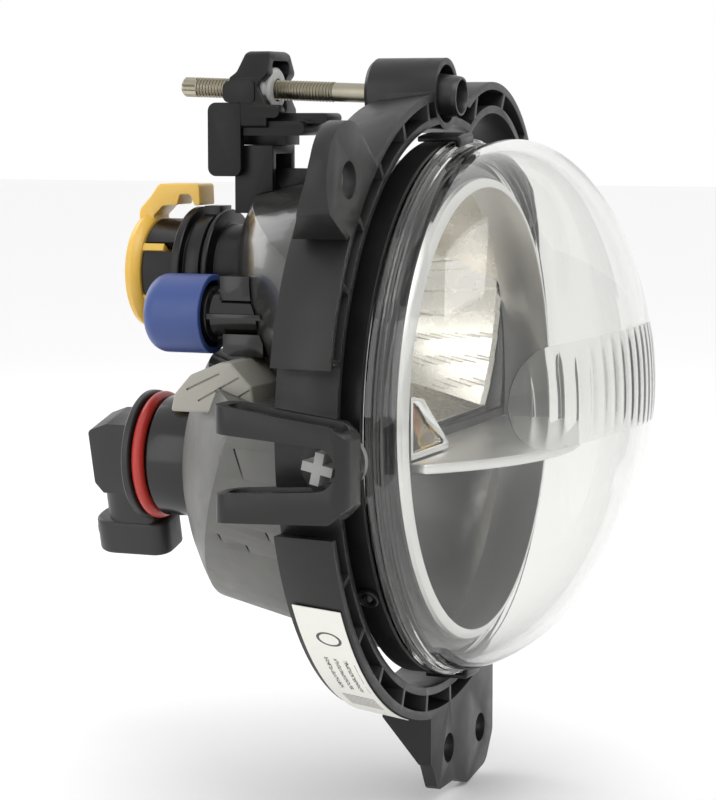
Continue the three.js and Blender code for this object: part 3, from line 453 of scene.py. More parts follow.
def moulded(name, colour, gloss=0.42, drift=0.35, grain=2200, depth=0.1, metal=0.0, coat=0.0,
            glow_through=0.0, level=0.5):
    """A moulded plastic with its own colour, gloss and grain."""
    look = bpy.data.materials.new(name)
    look.use_nodes = True
    shader = look.node_tree.nodes["Principled BSDF"]
    skin = look.node_tree.nodes.new("ShaderNodeGroup")
    skin.node_tree = mould_skin
    for label, value in (
            ("Colour", (*colour, 1)), ("Drift", drift), ("Gloss", gloss), ("Grain", grain), ("Depth", depth)):
        skin.inputs[label].default_value = value
    for label, socket in (("Colour", "Base Color"), ("Roughness", "Roughness"), ("Normal", "Normal")):
        look.node_tree.links.new(skin.outputs[label], shader.inputs[socket])
    shader.inputs["Metallic"].default_value = metal
    shader.inputs["Coat Weight"].default_value = coat
    shader.inputs["Specular IOR Level"].default_value = level
    if glow_through:
        shader.inputs["Subsurface Weight"].default_value = glow_through
        shader.inputs["Subsurface Radius"].default_value = (0.004, 0.003, 0.0015)
        shader.inputs["Subsurface Scale"].default_value = 0.6
    return look


carrier_look = moulded("carrier_nylon", (0.011, 0.011, 0.0107), gloss=0.38, drift=0.5, depth=0.16,
                       level=0.36)


def ring_solid(main, bulge, y0, y1, draft=0.0):
    """The ring's outline: the main circle and the bulge together."""
    round_part = turned([(0, y0), (main, y0), (main - draft, y1), (0, y1)], facets=160)
    return join(round_part, prism(disc_points(bulge_x, bulge_z, bulge, 96), y0, y1))


carrier = ring_solid(ring_outer, bulge_outer, 0, ring_depth, ring_draft)
ear_outline = []
for k in range(29):
    a = math.radians(62 + 152 * k / 28)
    ear_outline.append((ear_x + ear_radius * math.cos(a), ear_z + ear_radius * math.sin(a)))
ear_outline += [(ear_x - 1, ear_z - ear_radius), (ear_x + 9, ear_z - 8), (ear_x + 16, ear_z + 3)]
ear = prism(ear_outline, 0, 14)
cut(ear, plate([
    (ear_x + 16, ear_z + 1, 1), (ear_x + 7, ear_z - 6.3, 1), (ear_x - 1, ear_z - 10.3, 4),
    (ear_x - 10.3, ear_z - 5, 5), (ear_x - 8, ear_z + 7, 5), (ear_x + 3, ear_z + 10, 4),
], 3, 16))
ear_side = rounded([
    (-1, 78), (4, 78), (4, 58.1), (4.6, 53.2, 12), (7.5, 46.1, 9), (14, 39.1), (14, 28), (-1, 28),
], 4)
trim(ear, prism(ear_side, -100, 100, "x"))
join(carrier, ear)
tab_outline = rounded([
    (-9, -62), (-9, -81.5, 3), (-4, -89.5, 3), (8, -89.5, 5), (16, -92.5, 5), (30, -90.5, 5),
    (35, -83.5, 3), (35, -62),
])
tab_plate = prism(tab_outline, 0, 3)
side_web = [(0, -62), (0, -82.5), (3, -82.5), (12, -72), (12, -62)]
join(carrier, tab_plate, prism(side_web, -9, -6.6, "x"), prism(side_web, 32.6, 35, "x"))
boss = turned([
    (0, 0), (boss_radius, 0), (boss_radius, 16.3), (7.3, 17.3), (6.8, 17.5), (0, 17.5)], 0, boss_z, 72)
join(carrier, boss)


def boss_room():
    return hole(boss_radius, 0, boss_z, -13, 20, 72)


# the pockets: a ring-shaped trough, crossed by evenly spaced ribs
trough = ring_solid(ring_outer - ring_wall, bulge_outer - ring_wall, -1, pocket_depth, ring_draft)
cut(trough, ring_solid(ring_inner + ring_wall, bulge_inner + ring_wall, -2, 12))
rib = brick(0, 130, -8, 15, -rib_width / 2, rib_width / 2)
cut(trough, ring_of_copies(rib, pocket_count, 180 / pocket_count))
cut(trough, boss_room())
cut(carrier, trough)
opening = ring_solid(ring_inner, bulge_inner, -2, 16)
cut(opening, boss_room())
cut(carrier, opening)
# the outer wall stops above and below each pair of arms
for side in (-1, 1):
    band = turned([(66.4, -3), (77, -3), (77, 16), (66.4, 16)], facets=160)
    low, high = sorted((side * 144, side * 32))
    trim(band, brick(low, high, -2, 16, -21.0, 14.5))
    cut(carrier, band)


def arm_pair(side):
    """Two sprung arms: a closed loop in plan, cut to two fingers that a bridge joins."""
    def across(points):
        return [(side * x, y, *rest) for x, y, *rest in points]
    loop = plate(across([
        (77, -6.2, 3.4), (77, 23.8, 3.4), (65.7, 23.8, 3.4), (65.7, -6.2, 3.4)]), -21, 11, "z")
    slot = plate(across([
        (74.8, -4, 2.2), (74.8, 21.6, 2.6), (67.9, 21.6, 2.6), (67.9, -4, 2.2)]), -22, 12, "z")
    cut(loop, slot)
    finger = [(24.8, 7.4), (-2.2, 3.9), (-7.2, -0.1), (-7.2, -11.8), (-2.2, -16.4), (24.8, -17.3),
              (24.8, -11.4)]
    for k in range(13):
        a = -math.pi / 2 - math.pi * k / 12
        finger.append((pivot_y + 4.6 * math.cos(a), pivot_z + 4.6 * math.sin(a)))
    finger.append((24.8, 1.5))
    trim(loop, prism(finger, *sorted((side * 78, side * 64.7)), "x"))
    ends = sorted((side * 67.9, side * 65.7))
    journal = turned_x([(0, ends[0]), (6.8, ends[0]), (6.8, ends[1]), (0, ends[1])], pivot_y, pivot_z)
    return join(loop, journal)


for side in (-1, 1):
    join(carrier, arm_pair(side))
clear_way = hole(ring_inner, 0, 0, -12, 16, 160)
cut(clear_way, boss_room())
cut(carrier, clear_way)
cut(
    carrier, hole(4, ear_x, ear_z, -2, 12), hole(3.5, 3.3, -81, -2, 12), hole(3.5, 25.6, -81, -2, 12),
    hole(6.6, 0, boss_z, -2, 12, 64), hole(4.55, 0, boss_z, 0, 20),
    turned_x([(0, -69.7), (3.8, -69.7), (3.8, -60.6), (0, -60.6)], pivot_y, pivot_z),
    turned_x([(0, 60.6), (3.8, 60.6), (3.8, 69.7), (0, 69.7)], pivot_y, pivot_z),
)
eased(carrier, 0.4, 2)
put(carrier, "carrier_moulding", carrier_look, "carrier", ["carrier_frame"])


# ---- rating label --------------------------------------------------------------------
# A printed polyester label stuck round the ring's lower side wall. It carries only plain
# bars, a ring and dashes in grey ink; it has no wording.
label_start, label_end = -149.0, -107.0
label_low, label_high = 1.0, 12.6
sheet_points, sheet_uv = [], []
across_steps, along_steps = 6, 48
for i in range(along_steps + 1):
    a = math.radians(label_start + (label_end - label_start) * i / along_steps)
    for j in range(across_steps + 1):
        y = label_low + (label_high - label_low) * j / across_steps
        r = ring_outer - ring_draft * y / ring_depth
        for lift in (0.32, 0.5):
            sheet_points.append(((r + lift) * math.cos(a), y, (r + lift) * math.sin(a)))
            sheet_uv.append((i / along_steps, j / across_steps))
label = loose("label", sheet_points, sheet_faces(along_steps, across_steps, True))
label_map = label.data.uv_layers.new(name="printed")
for corner in label.data.loops:
    label_map.data[corner.index].uv = sheet_uv[corner.vertex_index]

label_look = moulded("printed_label", (0.74, 0.73, 0.68), gloss=0.38, drift=0.12, grain=900, depth=0.03)
label_tree = label_look.node_tree
paper_tone = next(n for n in label_tree.nodes if n.type == "GROUP")
label_uv = label_tree.nodes.new("ShaderNodeUVMap")
label_uv.uv_map = "printed"
spread = label_tree.nodes.new("ShaderNodeSeparateXYZ")
label_tree.links.new(label_uv.outputs["UV"], spread.inputs[0])


def maths(operation, *values):
    return arithmetic(label_tree, operation, *values)


def between(value, low, high):
    return maths("MULTIPLY", maths("GREATER_THAN", value, low), maths("LESS_THAN", value, high))


along, across = spread.outputs["X"], spread.outputs["Y"]
dash_noise = noise_on(label_tree, label_uv.outputs["UV"], 64, 0)
dashes = maths("GREATER_THAN", dash_noise.outputs["Fac"], 0.47)
rows = maths("GREATER_THAN", maths("SINE", maths("MULTIPLY", across, 31.4)), 0.25)
row_block = maths("MULTIPLY", between(along, 0.30, 0.56), between(across, 0.08, 0.74))
ink_rows = maths("MULTIPLY", maths("MULTIPLY", dashes, rows), row_block)
bars = maths("GREATER_THAN", maths("SINE", maths("MULTIPLY", along, 330)), 0.1)
bar_block = maths("MULTIPLY", between(along, 0.62, 0.78), between(across, 0.12, 0.80))
ink_bars = maths("MULTIPLY", bars, bar_block)
ring_x = maths("MULTIPLY", maths("SUBTRACT", along, 0.17), 6.2)
ring_y = maths("SUBTRACT", across, 0.42)
ring_r = maths("SQRT", maths("ADD", maths("MULTIPLY", ring_x, ring_x), maths("MULTIPLY", ring_y, ring_y)))
ink_ring = between(ring_r, 0.20, 0.26)
ink = maths("MAXIMUM", maths("MAXIMUM", ink_rows, ink_bars), ink_ring)
printed = label_tree.nodes.new("ShaderNodeMix")
printed.data_type = "RGBA"
printed.inputs["B"].default_value = (0.06, 0.06, 0.06, 1)
label_tree.links.new(ink, printed.inputs["Factor"])
label_tree.links.new(paper_tone.outputs["Colour"], printed.inputs["A"])
label_tree.links.new(printed.outputs["Result"], label_tree.nodes["Principled BSDF"].inputs["Base Color"])
put(label, "label_sheet", label_look, "carrier", ["rating_label"])

# ---- adjuster ------------------------------------------------------------------------
# A zinc-plated M5 screw with rolled threads and a splined end turns in a nylon bush in
# the carrier's boss. A black driver tube with a bore for a key is pressed on its front.
bush_y = 14.9
screw_lean = math.radians(2)
lean = (Matrix.Translation((0, bush_y, boss_z)) @ Matrix.Rotation(screw_lean, 4, "X")
        @ Matrix.Translation((0, -bush_y, 0)))


def leaned(thing):
    thing.data.transform(lean)
    return thing


nylon_look = moulded("white_nylon", (0.42, 0.42, 0.41), gloss=0.38, drift=0.1, depth=0.05,
                     glow_through=0.25)
bush = turned([(2.65, 12.6), (4.25, 12.6), (4.25, 17.2), (2.65, 17.2)], facets=48)
put(leaned(eased(bush, 0.2)), "screw_bush", nylon_look, "bush", ["adjuster_bush"])

driver_look = moulded("driver_nylon", (0.016, 0.016, 0.017), gloss=0.33, drift=0.4, depth=0.06)
driver = turned([
    (0, 4.4), (3.0, 4.4), (3.6, 4.0), (3.6, -3.0), (3.9, -3.7), (4.3, -3.7), (4.5, -3.4), (4.65, -2.4),
    (5.35, 3.6), (5.5, 5), (5.5, 10.6), (5.1, 11.2), (0, 11.2)], facets=64)
put(leaned(driver), "driver_tube", driver_look, "adjuster", ["adjuster_driver"], smooth=30)


def joined_with(thing, *others):
    """Puts loose parts that only touch into one mesh."""
    both = bmesh.new()
    both.from_mesh(thing.data)
    for other in others:
        both.from_mesh(other.data)
        bpy.data.objects.remove(other)
    both.to_mesh(thing.data)
    both.free()
    return thing


thread_pitch, thread_start, thread_end = 0.8, 27.5, 62.2
crest, root = 2.35, 1.98
turn_steps = 20
thread_points, thread_faces = [], []
thread_turns = (thread_end - thread_start) / thread_pitch
row_count = int(thread_turns * turn_steps)
profile = ((0.0, root), (0.22, root), (0.42, crest), (0.58, crest))
for k in range(row_count + turn_steps + 1):
    a = 2 * math.pi * k / turn_steps
    shift = thread_start + thread_pitch * (k / turn_steps - 1)
    for part, r in profile:
        y = min(max(shift + part * thread_pitch, thread_start), thread_end)
        thread_points.append((r * math.cos(a), y, r * math.sin(a)))
total_rows = row_count + turn_steps + 1
for k in range(total_rows - 1):
    for i in range(3):
        p = k * 4 + i
        thread_faces.append([p, p + 1, p + 5, p + 4])
    ahead = k + turn_steps
    if ahead + 1 < total_rows:
        thread_faces.append([k * 4 + 3, ahead * 4, (ahead + 1) * 4, (k + 1) * 4 + 3])
threaded = loose("threaded", thread_points, thread_faces)
core = turned([
    (0, 11.5), (2.2, 11.5), (2.2, thread_start - 0.4), (root + 0.02, thread_start + 0.3),
    (root + 0.02, thread_end), (0, thread_end)], facets=32)
spline = []
for k in range(24):
    a = 2 * math.pi * k / 24
    r = (2.3, 2.3, 1.75)[k % 3]
    spline.append((r * math.cos(a), r * math.sin(a)))
splined = trim(prism(spline, thread_end - 0.3, 65.8),
               turned([(0, 60), (2.3, 60), (2.3, 65.2), (1.7, 65.8), (0, 65.8)], facets=32))
screw = joined_with(threaded, join(core, splined))
zinc_look = moulded("yellow_zinc", (0.34, 0.315, 0.25), gloss=0.36, drift=0.5, grain=5200,
                    depth=0.12, metal=1.0)
put(leaned(screw), "adjuster_thread", zinc_look, "adjuster", ["adjuster_screw"], smooth=25)

nut_y = 45.5
nut = turned([
    (2.65, nut_y - 3.75), (4.6, nut_y - 3.75), (5.2, nut_y - 3.2), (5.2, nut_y + 3.2),
    (4.6, nut_y + 3.75), (2.65, nut_y + 3.75)], facets=64)
wings = turned_x([(0, -6.6), (3, -6.6), (3, 6.6), (0, 6.6)], nut_y, 0)
cut(wings, hole(3.4, 0, 0, 40, 51))
join(nut, wings)
put(leaned(eased(nut, 0.25)), "travel_nut", nylon_look, "nut", ["adjuster_nut"])

# ---- lamp housing ring ---------------------------------------------------------------
# A black ring that the lens is bonded to, with the bead of black sealant inside it, two
# moulded clips over the lens flange and small ejector bosses round its side.
black_look = moulded("black_housing", (0.004, 0.004, 0.0045), gloss=0.34, drift=0.5, depth=0.1,
                     level=0.35)
ring_body = turned([
    (59.4, -3.4), (60.6, -3.4), (61, -3.0), (61, 2.6), (60.6, 3.0), (56, 3.0), (56, 1.4), (59.4, 1.4)],
    facets=160)
put(ring_body, "lamp_ring", black_look, "lamp", ["housing_ring"], smooth=30)
sealant_look = moulded("black_sealant", (0.003, 0.003, 0.003), gloss=0.62, drift=0.3,
                       grain=700, depth=0.35)
bead = turned([(57, -3.4), (59.1, -3.4), (59.1, 1.1), (57, 1.1)], facets=120)
put(eased(bead, 0.4), "lens_sealant", sealant_look, "lamp", ["lens_seal"])


def clip(name, degrees, node):
    hook = turned([
        (61.5, -6.0), (60.1, -6.0), (60.1, -6.9), (60.5, -7.2), (62.2, -7.2), (62.7, -6.7), (62.7, 3.0),
        (61.5, 3.0)], facets=160)
    a = math.radians(degrees)
    sector = brick(-4.5, 4.5, -12, 12, 55, 67)
    sector.data.transform(Matrix.Rotation(a, 4, "Y"))
    trim(hook, sector)
    put(eased(hook, 0.25), name, black_look, "lamp", [node])


# a round ejector boss with a domed middle on each side of the ring, below the pins
for degrees in (-126, 126):
    pip = turned([
        (0, 61.2), (2.4, 61.2), (2.4, 61.9), (2.1, 62.1), (1.6, 61.9), (1.3, 61.3), (1.0, 61.8),
        (0.5, 62.2), (0, 62.3)], facets=40)
    pip.data.transform(Matrix.Translation((0, -0.5, 0)) @ Matrix.Rotation(math.radians(degrees), 4, "Y")
                       @ Matrix.Rotation(math.radians(90), 4, "X"))
    pip_name = "ejector_boss_near" if degrees < 0 else "ejector_boss_far"
    put(pip, pip_name, black_look, "lamp", ())


clip("lens_hook_top", -6, "lens_clip_top")
clip("lens_hook_bottom", 180, "lens_clip_bottom")

# ---- lens ----------------------------------------------------------------------------
# One clear polycarbonate moulding with a hard coat: a stepped flange, a straight skirt
# and a full dome that leans upwards. A band of upright flutes crosses its front.
lens_radius, lens_height, lens_base_y = 59.8, 35.9, -9.9
lens_fullness, lens_lift, lens_skew, lens_wall = 1.05, 0.369, 0.173, 2.4


def dome_point(radius, forward, angle):
    """A point of the dome from its radius, its reach forward and its place round it."""
    height = radius * math.sin(angle)
    y = lens_base_y - forward * (1 - lens_skew * height / lens_radius)
    return (radius * math.cos(angle), y, height + lens_lift * forward)


def dome_rows(inset, steps):
    rows = []
    for i in range(steps + 1):
        t = math.radians(90) * i / steps
        r = (lens_radius - inset) * math.cos(t) ** lens_fullness if i < steps else 0.0
        rows.append((r, (lens_height - inset) * math.sin(t)))
    return rows


flange_rows = [
    (59.0, -3.7), (61.0, -3.7), (61.2, -3.9), (61.2, -5.5), (61.0, -5.7),
    (60.45, -5.7), (60.4, -5.9), (60.35, -7.3), (60.2, -7.5), (59.85, -7.6), (59.8, -7.8)]
facets = 240
lens_points = []
outer_rows, inner_rows = dome_rows(0, 44), dome_rows(lens_wall, 30)
strip = [("flat", r, y) for r, y in flange_rows]
strip += [("dome", r, f) for r, f in outer_rows]
strip += [("dome", r, f) for r, f in inner_rows[::-1]]
strip += [("flat", 57.4, -6.2)]
for k in range(facets):
    a = 2 * math.pi * k / facets
    for kind, r, v in strip:
        lens_points.append((r * math.cos(a), v, r * math.sin(a)) if kind == "flat" else dome_point(r, v, a))
lens = loose("lens", lens_points, ring_of_rows(facets, len(strip)))


def clear_glass(name, tint, roughness, index=1.5):
    """A clear material with a very faint film of wipe marks in its gloss."""
    look = bpy.data.materials.new(name)
    look.use_nodes = True
    tree = look.node_tree
    shader = tree.nodes["Principled BSDF"]
    shader.inputs["Base Color"].default_value = (*tint, 1)
    shader.inputs["IOR"].default_value = index
    shader.inputs["Transmission Weight"].default_value = 1.0
    place = tree.nodes.new("ShaderNodeTexCoord").outputs["Object"]
    gloss = stretched(tree, noise_on(tree, place, 60, 6).outputs["Fac"], 0.35, 0.75)
    gloss.inputs["To Min"].default_value = roughness
    gloss.inputs["To Max"].default_value = roughness + 0.02
    tree.links.new(gloss.outputs["Result"], shader.inputs["Roughness"])
    return look


lens_look = clear_glass("clear_polycarbonate", (0.91, 0.912, 0.895), 0.0, 1.49)
put(lens, "lens_dome", lens_look, "lamp", ["lens"], smooth=28)

# the flutes are half-round ribs side by side, inside an outline with round ends
flute_pitch, flute_height = 4.4, 0.11
band_reach, band_half = 48.0, 11.0


def dome_at(x, z):
    """The dome's surface point above x, z."""
    height = z
    forward = 0.0
    for _ in range(40):
        r = min(math.hypot(x, height), lens_radius)
        t = math.acos((r / lens_radius) ** (1 / lens_fullness))
        forward = lens_height * math.sin(t)
        height = height * 0.5 + 0.5 * (z - lens_lift * forward)
    return Vector((x, lens_base_y - forward * (1 - lens_skew * height / lens_radius), z))


def dome_normal(x, z):
    side = dome_at(x + 0.2, z) - dome_at(x - 0.2, z)
    up = dome_at(x, z + 0.2) - dome_at(x, z - 0.2)
    out = side.cross(up).normalized()
    return out if out.y < 0 else -out


column_steps = 8
columns = int(2 * band_reach / flute_pitch) * column_steps
rows_up = 14
band_points = []
for i in range(columns + 1):
    x = -band_reach + 2 * band_reach * i / columns
    part = (i % column_steps) / column_steps
    bulge = flute_height * (1 - (2 * part - 1) ** 2)
    over = max(0.0, abs(x) - (band_reach - band_half))
    half = max(math.sqrt(max(band_half ** 2 - over ** 2, 0)), 0.4)
    middle = 8.6 - 1.8 * (x / 40) ** 2
    for j in range(rows_up + 1):
        z = middle + half * (2 * j / rows_up - 1)
        edge = min(1.0, 3.0 * (1 - abs(2 * j / rows_up - 1)) + 0.05)
        place, out = dome_at(x, z), dome_normal(x, z)
        band_points.append(place + out * (0.16 + bulge * edge))
        band_points.append(place + out * 0.02)
band = loose("band", band_points, sheet_faces(columns, rows_up))
put(band, "lens_flutes", lens_look, "lamp", (), smooth=24)

# ---- chambers ------------------------------------------------------------------------
# Two bowls of mineral-filled plastic, clipped together behind the ring. Each is vapour
# coated inside: the lower one smooth, the upper one fluted along its length.
signal_z, fog_z = 29.7, -14.7
divider_z, divider_slope = -7.0, 0.36
half_gap, outside_gap = 0.15, 0.3
mouth_y, mouth_radius, mouth_taper = 3.3, 58.0, 0.23
bowl_front, bowl_wall, coating_inset, coating_depth = 3.0, 1.8, 1.83, 0.2
# above the divider or not, neck radius, rear y, curve of the parabola, height of its axis
signal_size = (True, 11.3, 48, 60, signal_z)
fog_size = (False, 14.4, 59.5, 93, fog_z)


def bowl_plug(neck, rear, curve, z, inset, flute=0.0, facets=120):
    """A parabolic plug; flutes are level ribs that stand in from its surface."""
    steps = 16
    rings = []
    for i in range(steps + 1):
        y = bowl_front + (rear - bowl_front) * i / steps
        reach = math.sqrt(neck * neck + curve * (rear - y)) - inset
        back = y - (inset if i else 0)
        row = []
        for k in range(facets):
            a = 2 * math.pi * k / facets
            height = reach * math.sin(a)
            if flute:
                pitch = 1.8 if height > 2 else 5.6
                wave = (height / pitch) % 1
                wave = (1 - wave) if pitch > 2 else 0.5 - abs(wave - 0.5)
                row.append(((reach - flute * wave) * math.cos(a), back, z + height))
            else:
                row.append((reach * math.cos(a), back, z + height))
        rings.append(row)
    points = [p for row in rings for p in row]
    points += [(0, rings[0][0][1], z), (0, rings[-1][0][1], z)]
    faces = []
    for i in range(steps):
        for k in range(facets):
            n = (k + 1) % facets
            faces.append([i * facets + k, i * facets + n, (i + 1) * facets + n, (i + 1) * facets + k])
    for k in range(facets):
        n = (k + 1) % facets
        faces.append([k, n, len(points) - 2])
        faces.append([steps * facets + k, steps * facets + n, len(points) - 1])
    return loose("plug", points, faces)


def taper_plug(inset):
    front, rear = mouth_y - (1 if inset else 0), 75.0
    wide = mouth_radius - inset
    end = wide - mouth_taper * (rear - front)
    return turned([(0, front), (wide, front), (end, rear), (0, rear)], facets=160)


def half_space(above, offset):
    def level(y):
        return divider_z + divider_slope * y + offset
    far = 130 if above else -130
    return prism([(-20, level(-20)), (90, level(90)), (90, far), (-20, far)], -80, 80, "x")


def chamber(size, inset, flute=0.0, facets=120):
    """The room inside a bowl, or its outside where the inset is nothing."""
    above, neck, rear, curve, z = size
    side = 1 if above else -1
    plug = bowl_plug(neck, rear, curve, z, inset, flute, facets)
    trim(plug, taper_plug(inset))
    return trim(plug, half_space(above, side * (half_gap + inset)))


def bowl_shell(size):
    _, neck, rear, _, z = size
    shell = chamber(size, 0)
    cut(shell, chamber(size, bowl_wall))
    return cut(shell, hole(neck + 0.3, 0, z, rear - 25, rear + 5, 64))


def mirror_skin(size, flute=0.0, facets=120):
    _, neck, rear, _, z = size
    lining = chamber(size, coating_inset, flute, facets)
    cut(lining, chamber(size, coating_inset + coating_depth, flute, facets))
    return cut(lining, hole(neck - 1.2, 0, z, rear - 30, rear + 5, 64))


smoke_look = moulded("smoked_bowl", (0.028, 0.027, 0.026), gloss=0.20, drift=0.9, grain=500, depth=0.04,
                     coat=0.3)
signal_bowl = bowl_shell(signal_size)
put(eased(signal_bowl, 0.3), "signal_bowl", smoke_look, "lamp", ["signal_reflector"])

# a thin flange closes the corners between the upper bowl's mouth and the ring
flange = hole(mouth_radius - 0.1, 0, 0, mouth_y, mouth_y + 1, 160)
trim(flange, half_space(True, 0.4))
_, neck, rear, curve, _ = signal_size
signal_mouth = math.sqrt(neck ** 2 + curve * (rear - bowl_front)) - 0.6
cut(flange, prism(disc_points(0, signal_z, signal_mouth, 160), 0, 9))
put(eased(flange, 0.2), "bowl_flange", smoke_look, "lamp", ())

bowl_look = moulded("grey_bowl", (0.105, 0.104, 0.096), gloss=0.42, drift=0.9, grain=420, depth=0.05)
fog_bowl = bowl_shell(fog_size)
for x in (-42, -33, -24, -15, 15, 24, 33, 42):
    line = brick(x - 0.3, x + 0.3, 25, 70, -1.0, 0.25)
    tilt = Matrix.Translation((0, 0, divider_z)) @ Matrix.Rotation(math.atan(divider_slope), 4, "X")
    line.data.transform(tilt)
    cut(fog_bowl, line)
for side in (-1, 1):
    for y, z, length in ((37.5, -26.5, 8), (30.5, -28.5, 13), (24, -25, 5), (29, -8.5, 7)):
        groove = brick(-0.5, 0.5, -0.25, 0.25, -length / 2, length / 2)
        groove.data.transform(Matrix.Rotation(math.radians(-17), 4, "X"))
        radius = math.sqrt((mouth_radius - mouth_taper * (y - mouth_y)) ** 2 - z * z)
        groove.data.transform(Matrix.Translation((side * radius, y, z)))
        cut(fog_bowl, groove)
put(eased(fog_bowl, 0.25), "fog_bowl", bowl_look, "lamp", ["fog_reflector"])


def hood_block(side):
    """A rounded beige shoulder above the divider, with three lines drawn into its side."""
    outline = rounded([(50.4, 1.0), (49.4, 5.0, 1.5), (45.6, 9.3, 3), (38.2, 12.3, 1.2), (35.6, 12.3, 0.8),
                       (30.6, 7.2, 0.8), (29.6, 1.0)])
    block = eased(prism(outline, *sorted((side * 20, side * 41)), "x"), 1.6, 4)
    for y0, z0, y1, z1 in ((46.2, 5.8, 38.2, 9.6), (43.4, 3.4, 33.4, 8.9), (36.0, 3.2, 30.9, 6.2)):
        line = prism([(y0, z0), (y1, z1), (y1 + 0.2, z1 + 0.4), (y0 + 0.2, z0 + 0.4)],
                     *sorted((side * 40.5, side * 43)), "x")
        cut(block, line)
    return block


beige_look = moulded("beige_bowl", (0.30, 0.29, 0.25), gloss=0.38, drift=0.25, grain=420, depth=0.05)
put(hood_block(-1), "bowl_hood_near", beige_look, "lamp", ())
put(hood_block(1), "bowl_hood_far", beige_look, "lamp", ())


def coating(name, tone, roughness, drift):
    """Vapour-coated metal of one tone."""
    return moulded(name, (tone, tone, tone * 0.99), gloss=roughness, drift=drift, grain=160,
                   depth=0.02, metal=1.0)


warm_coat = moulded("warm_coating", (0.74, 0.71, 0.65), gloss=0.27, drift=0.15, grain=160,
                    depth=0.02, metal=1.0)
dark_coat = coating("dark_coating", 0.66, 0.20, 0.06)
put(mirror_skin(signal_size, 0.7, 720), "signal_mirror", warm_coat, "lamp", (), 20)
put(mirror_skin(fog_size), "fog_mirror", dark_coat, "lamp", (), 30)

# ---- bright rim, divider and amber window --------------------------------------------
# The coated front rim of the two bowls stands inside the lens skirt. The divider's front
# edge bulges forward across it, and a slanted window with an amber pane stands on its end.
bright_rim = coating("bright_rim", 0.86, 0.36, 0.08)
step_look = moulded("smoked_steps", (0.035, 0.035, 0.037), gloss=0.10, drift=0.3, grain=500,
                    depth=0.02, metal=0.4)
steps = turned([
    (57.0, 3.0), (57.0, -3.6), (56.2, -3.8), (56.2, -5.2), (54.9, -5.4), (54.9, -6.9), (53.6, -7.1),
    (53.6, -8.2), (52.7, -8.4), (55.4, -3.4), (55.6, -3.0), (55.6, 3.0)], facets=200)
put(eased(steps, 0.12), "rim_steps", step_look, "lamp", (), smooth=40)
rim = turned([
    (52.6, -8.6), (52.5, -9.3), (51.2, -10.1), (50.4, -10.0), (50.5, -9.4), (54.7, -3.0), (54.8, 3.0),
    (55.3, 3.0), (55.2, -3.3)], facets=200)
put(rim, "rim_edge", bright_rim, "lamp", (), smooth=40)

lip_reach, lip_forward, lip_bulge = 46.0, 12.0, 18.0
lip_radius = (lip_reach ** 2 + lip_bulge ** 2) / (2 * lip_bulge)
lip_outline = [(lip_reach, 1.1), (-lip_reach, 1.1)]
for k in range(65):
    a = math.asin(lip_reach / lip_radius) * (2 * k / 64 - 1)
    lip_outline.append((lip_radius * math.sin(a),
                        lip_radius * (1 - math.cos(a)) - lip_bulge - lip_forward))
lip = prism(lip_outline, -9.2, -7.0, "z")
put(eased(lip, 0.5, 3), "divider_edge", bright_rim, "lamp", ["divider_lip"])


def window_outline(inset, radius):
    left, bottom, wide, high = -45.5 + inset, -6.4, 25.5, 13.6
    right, top = left + wide - 3.4 * inset, bottom + high - inset
    return rounded([
        (left, bottom + inset, radius), (right, bottom + inset, radius),
        (right - 0.48 * wide, top - 0.4 * high, radius), (right - 0.7 * wide, top - 0.1 * high, radius),
        (left, top, radius)])


frame_piece = prism(window_outline(0, 0.8), -8.6, -6.6)
cut(frame_piece, prism(window_outline(1.3, 0.4), -20, 9))
put(eased(frame_piece, 0.3), "window_rim", coating("window_chrome", 0.92, 0.10, 0.05), "lamp",
    ["window_frame"])
amber_look = clear_glass("amber_glass", (1.0, 0.66, 0.16), 0.05)
pane = prism(window_outline(1.6, 0.4), -8.1, -6.9)
put(eased(pane, 0.15), "amber_pane", amber_look, "lamp", ["amber_window"])
backing = plate([
    (-43.6, -4.6, 0.6), (-36.4, -4.6, 0.6), (-36.4, 1.6, 1.2), (-39.4, 4.6, 1.2),
    (-43.6, 4.8, 0.6)], -6.2, -5.0)
amber_solid = moulded("amber_plastic", (0.95, 0.48, 0.02), gloss=0.2, drift=0.2, depth=0.03,
                      glow_through=0.4)
put(eased(backing, 0.2), "amber_backing", amber_solid, "lamp", ())

# ---- side pins -----------------------------------------------------------------------
# Grey nylon pins moulded with the housing. Each has a flange, a round journal in the
# ring's bearing and a cross-shaped end that shows between the sprung arms.
pin_look = moulded("grey_pin", (0.235, 0.235, 0.23), gloss=0.42, drift=0.15, depth=0.06)
for side, name, node in ((-1, "side_pin_near", "pivot_pin_near"), (1, "side_pin_far", "pivot_pin_far")):
    pin = turned_x([(0, side * 61.5), (5.8, side * 61.5), (5.8, side * 63.15), (3.5, side * 63.15),
                    (3.5, side * 69.4), (0, side * 69.4)], pivot_y, pivot_z, 64)
    cross = []
    for k in range(4):
        for a, b in ((1.0, 3.4), (-1.0, 3.4), (-1.0, 1.0)):
            t = math.radians(90 * k + 12)
            cross.append((pivot_y + a * math.cos(t) - b * math.sin(t),
                          pivot_z + a * math.sin(t) + b * math.cos(t)))
    join(pin, prism(cross, *sorted((side * 68.2, side * 75.4)), "x"))
    put(eased(pin, 0.22), name, pin_look, "lamp", [node])

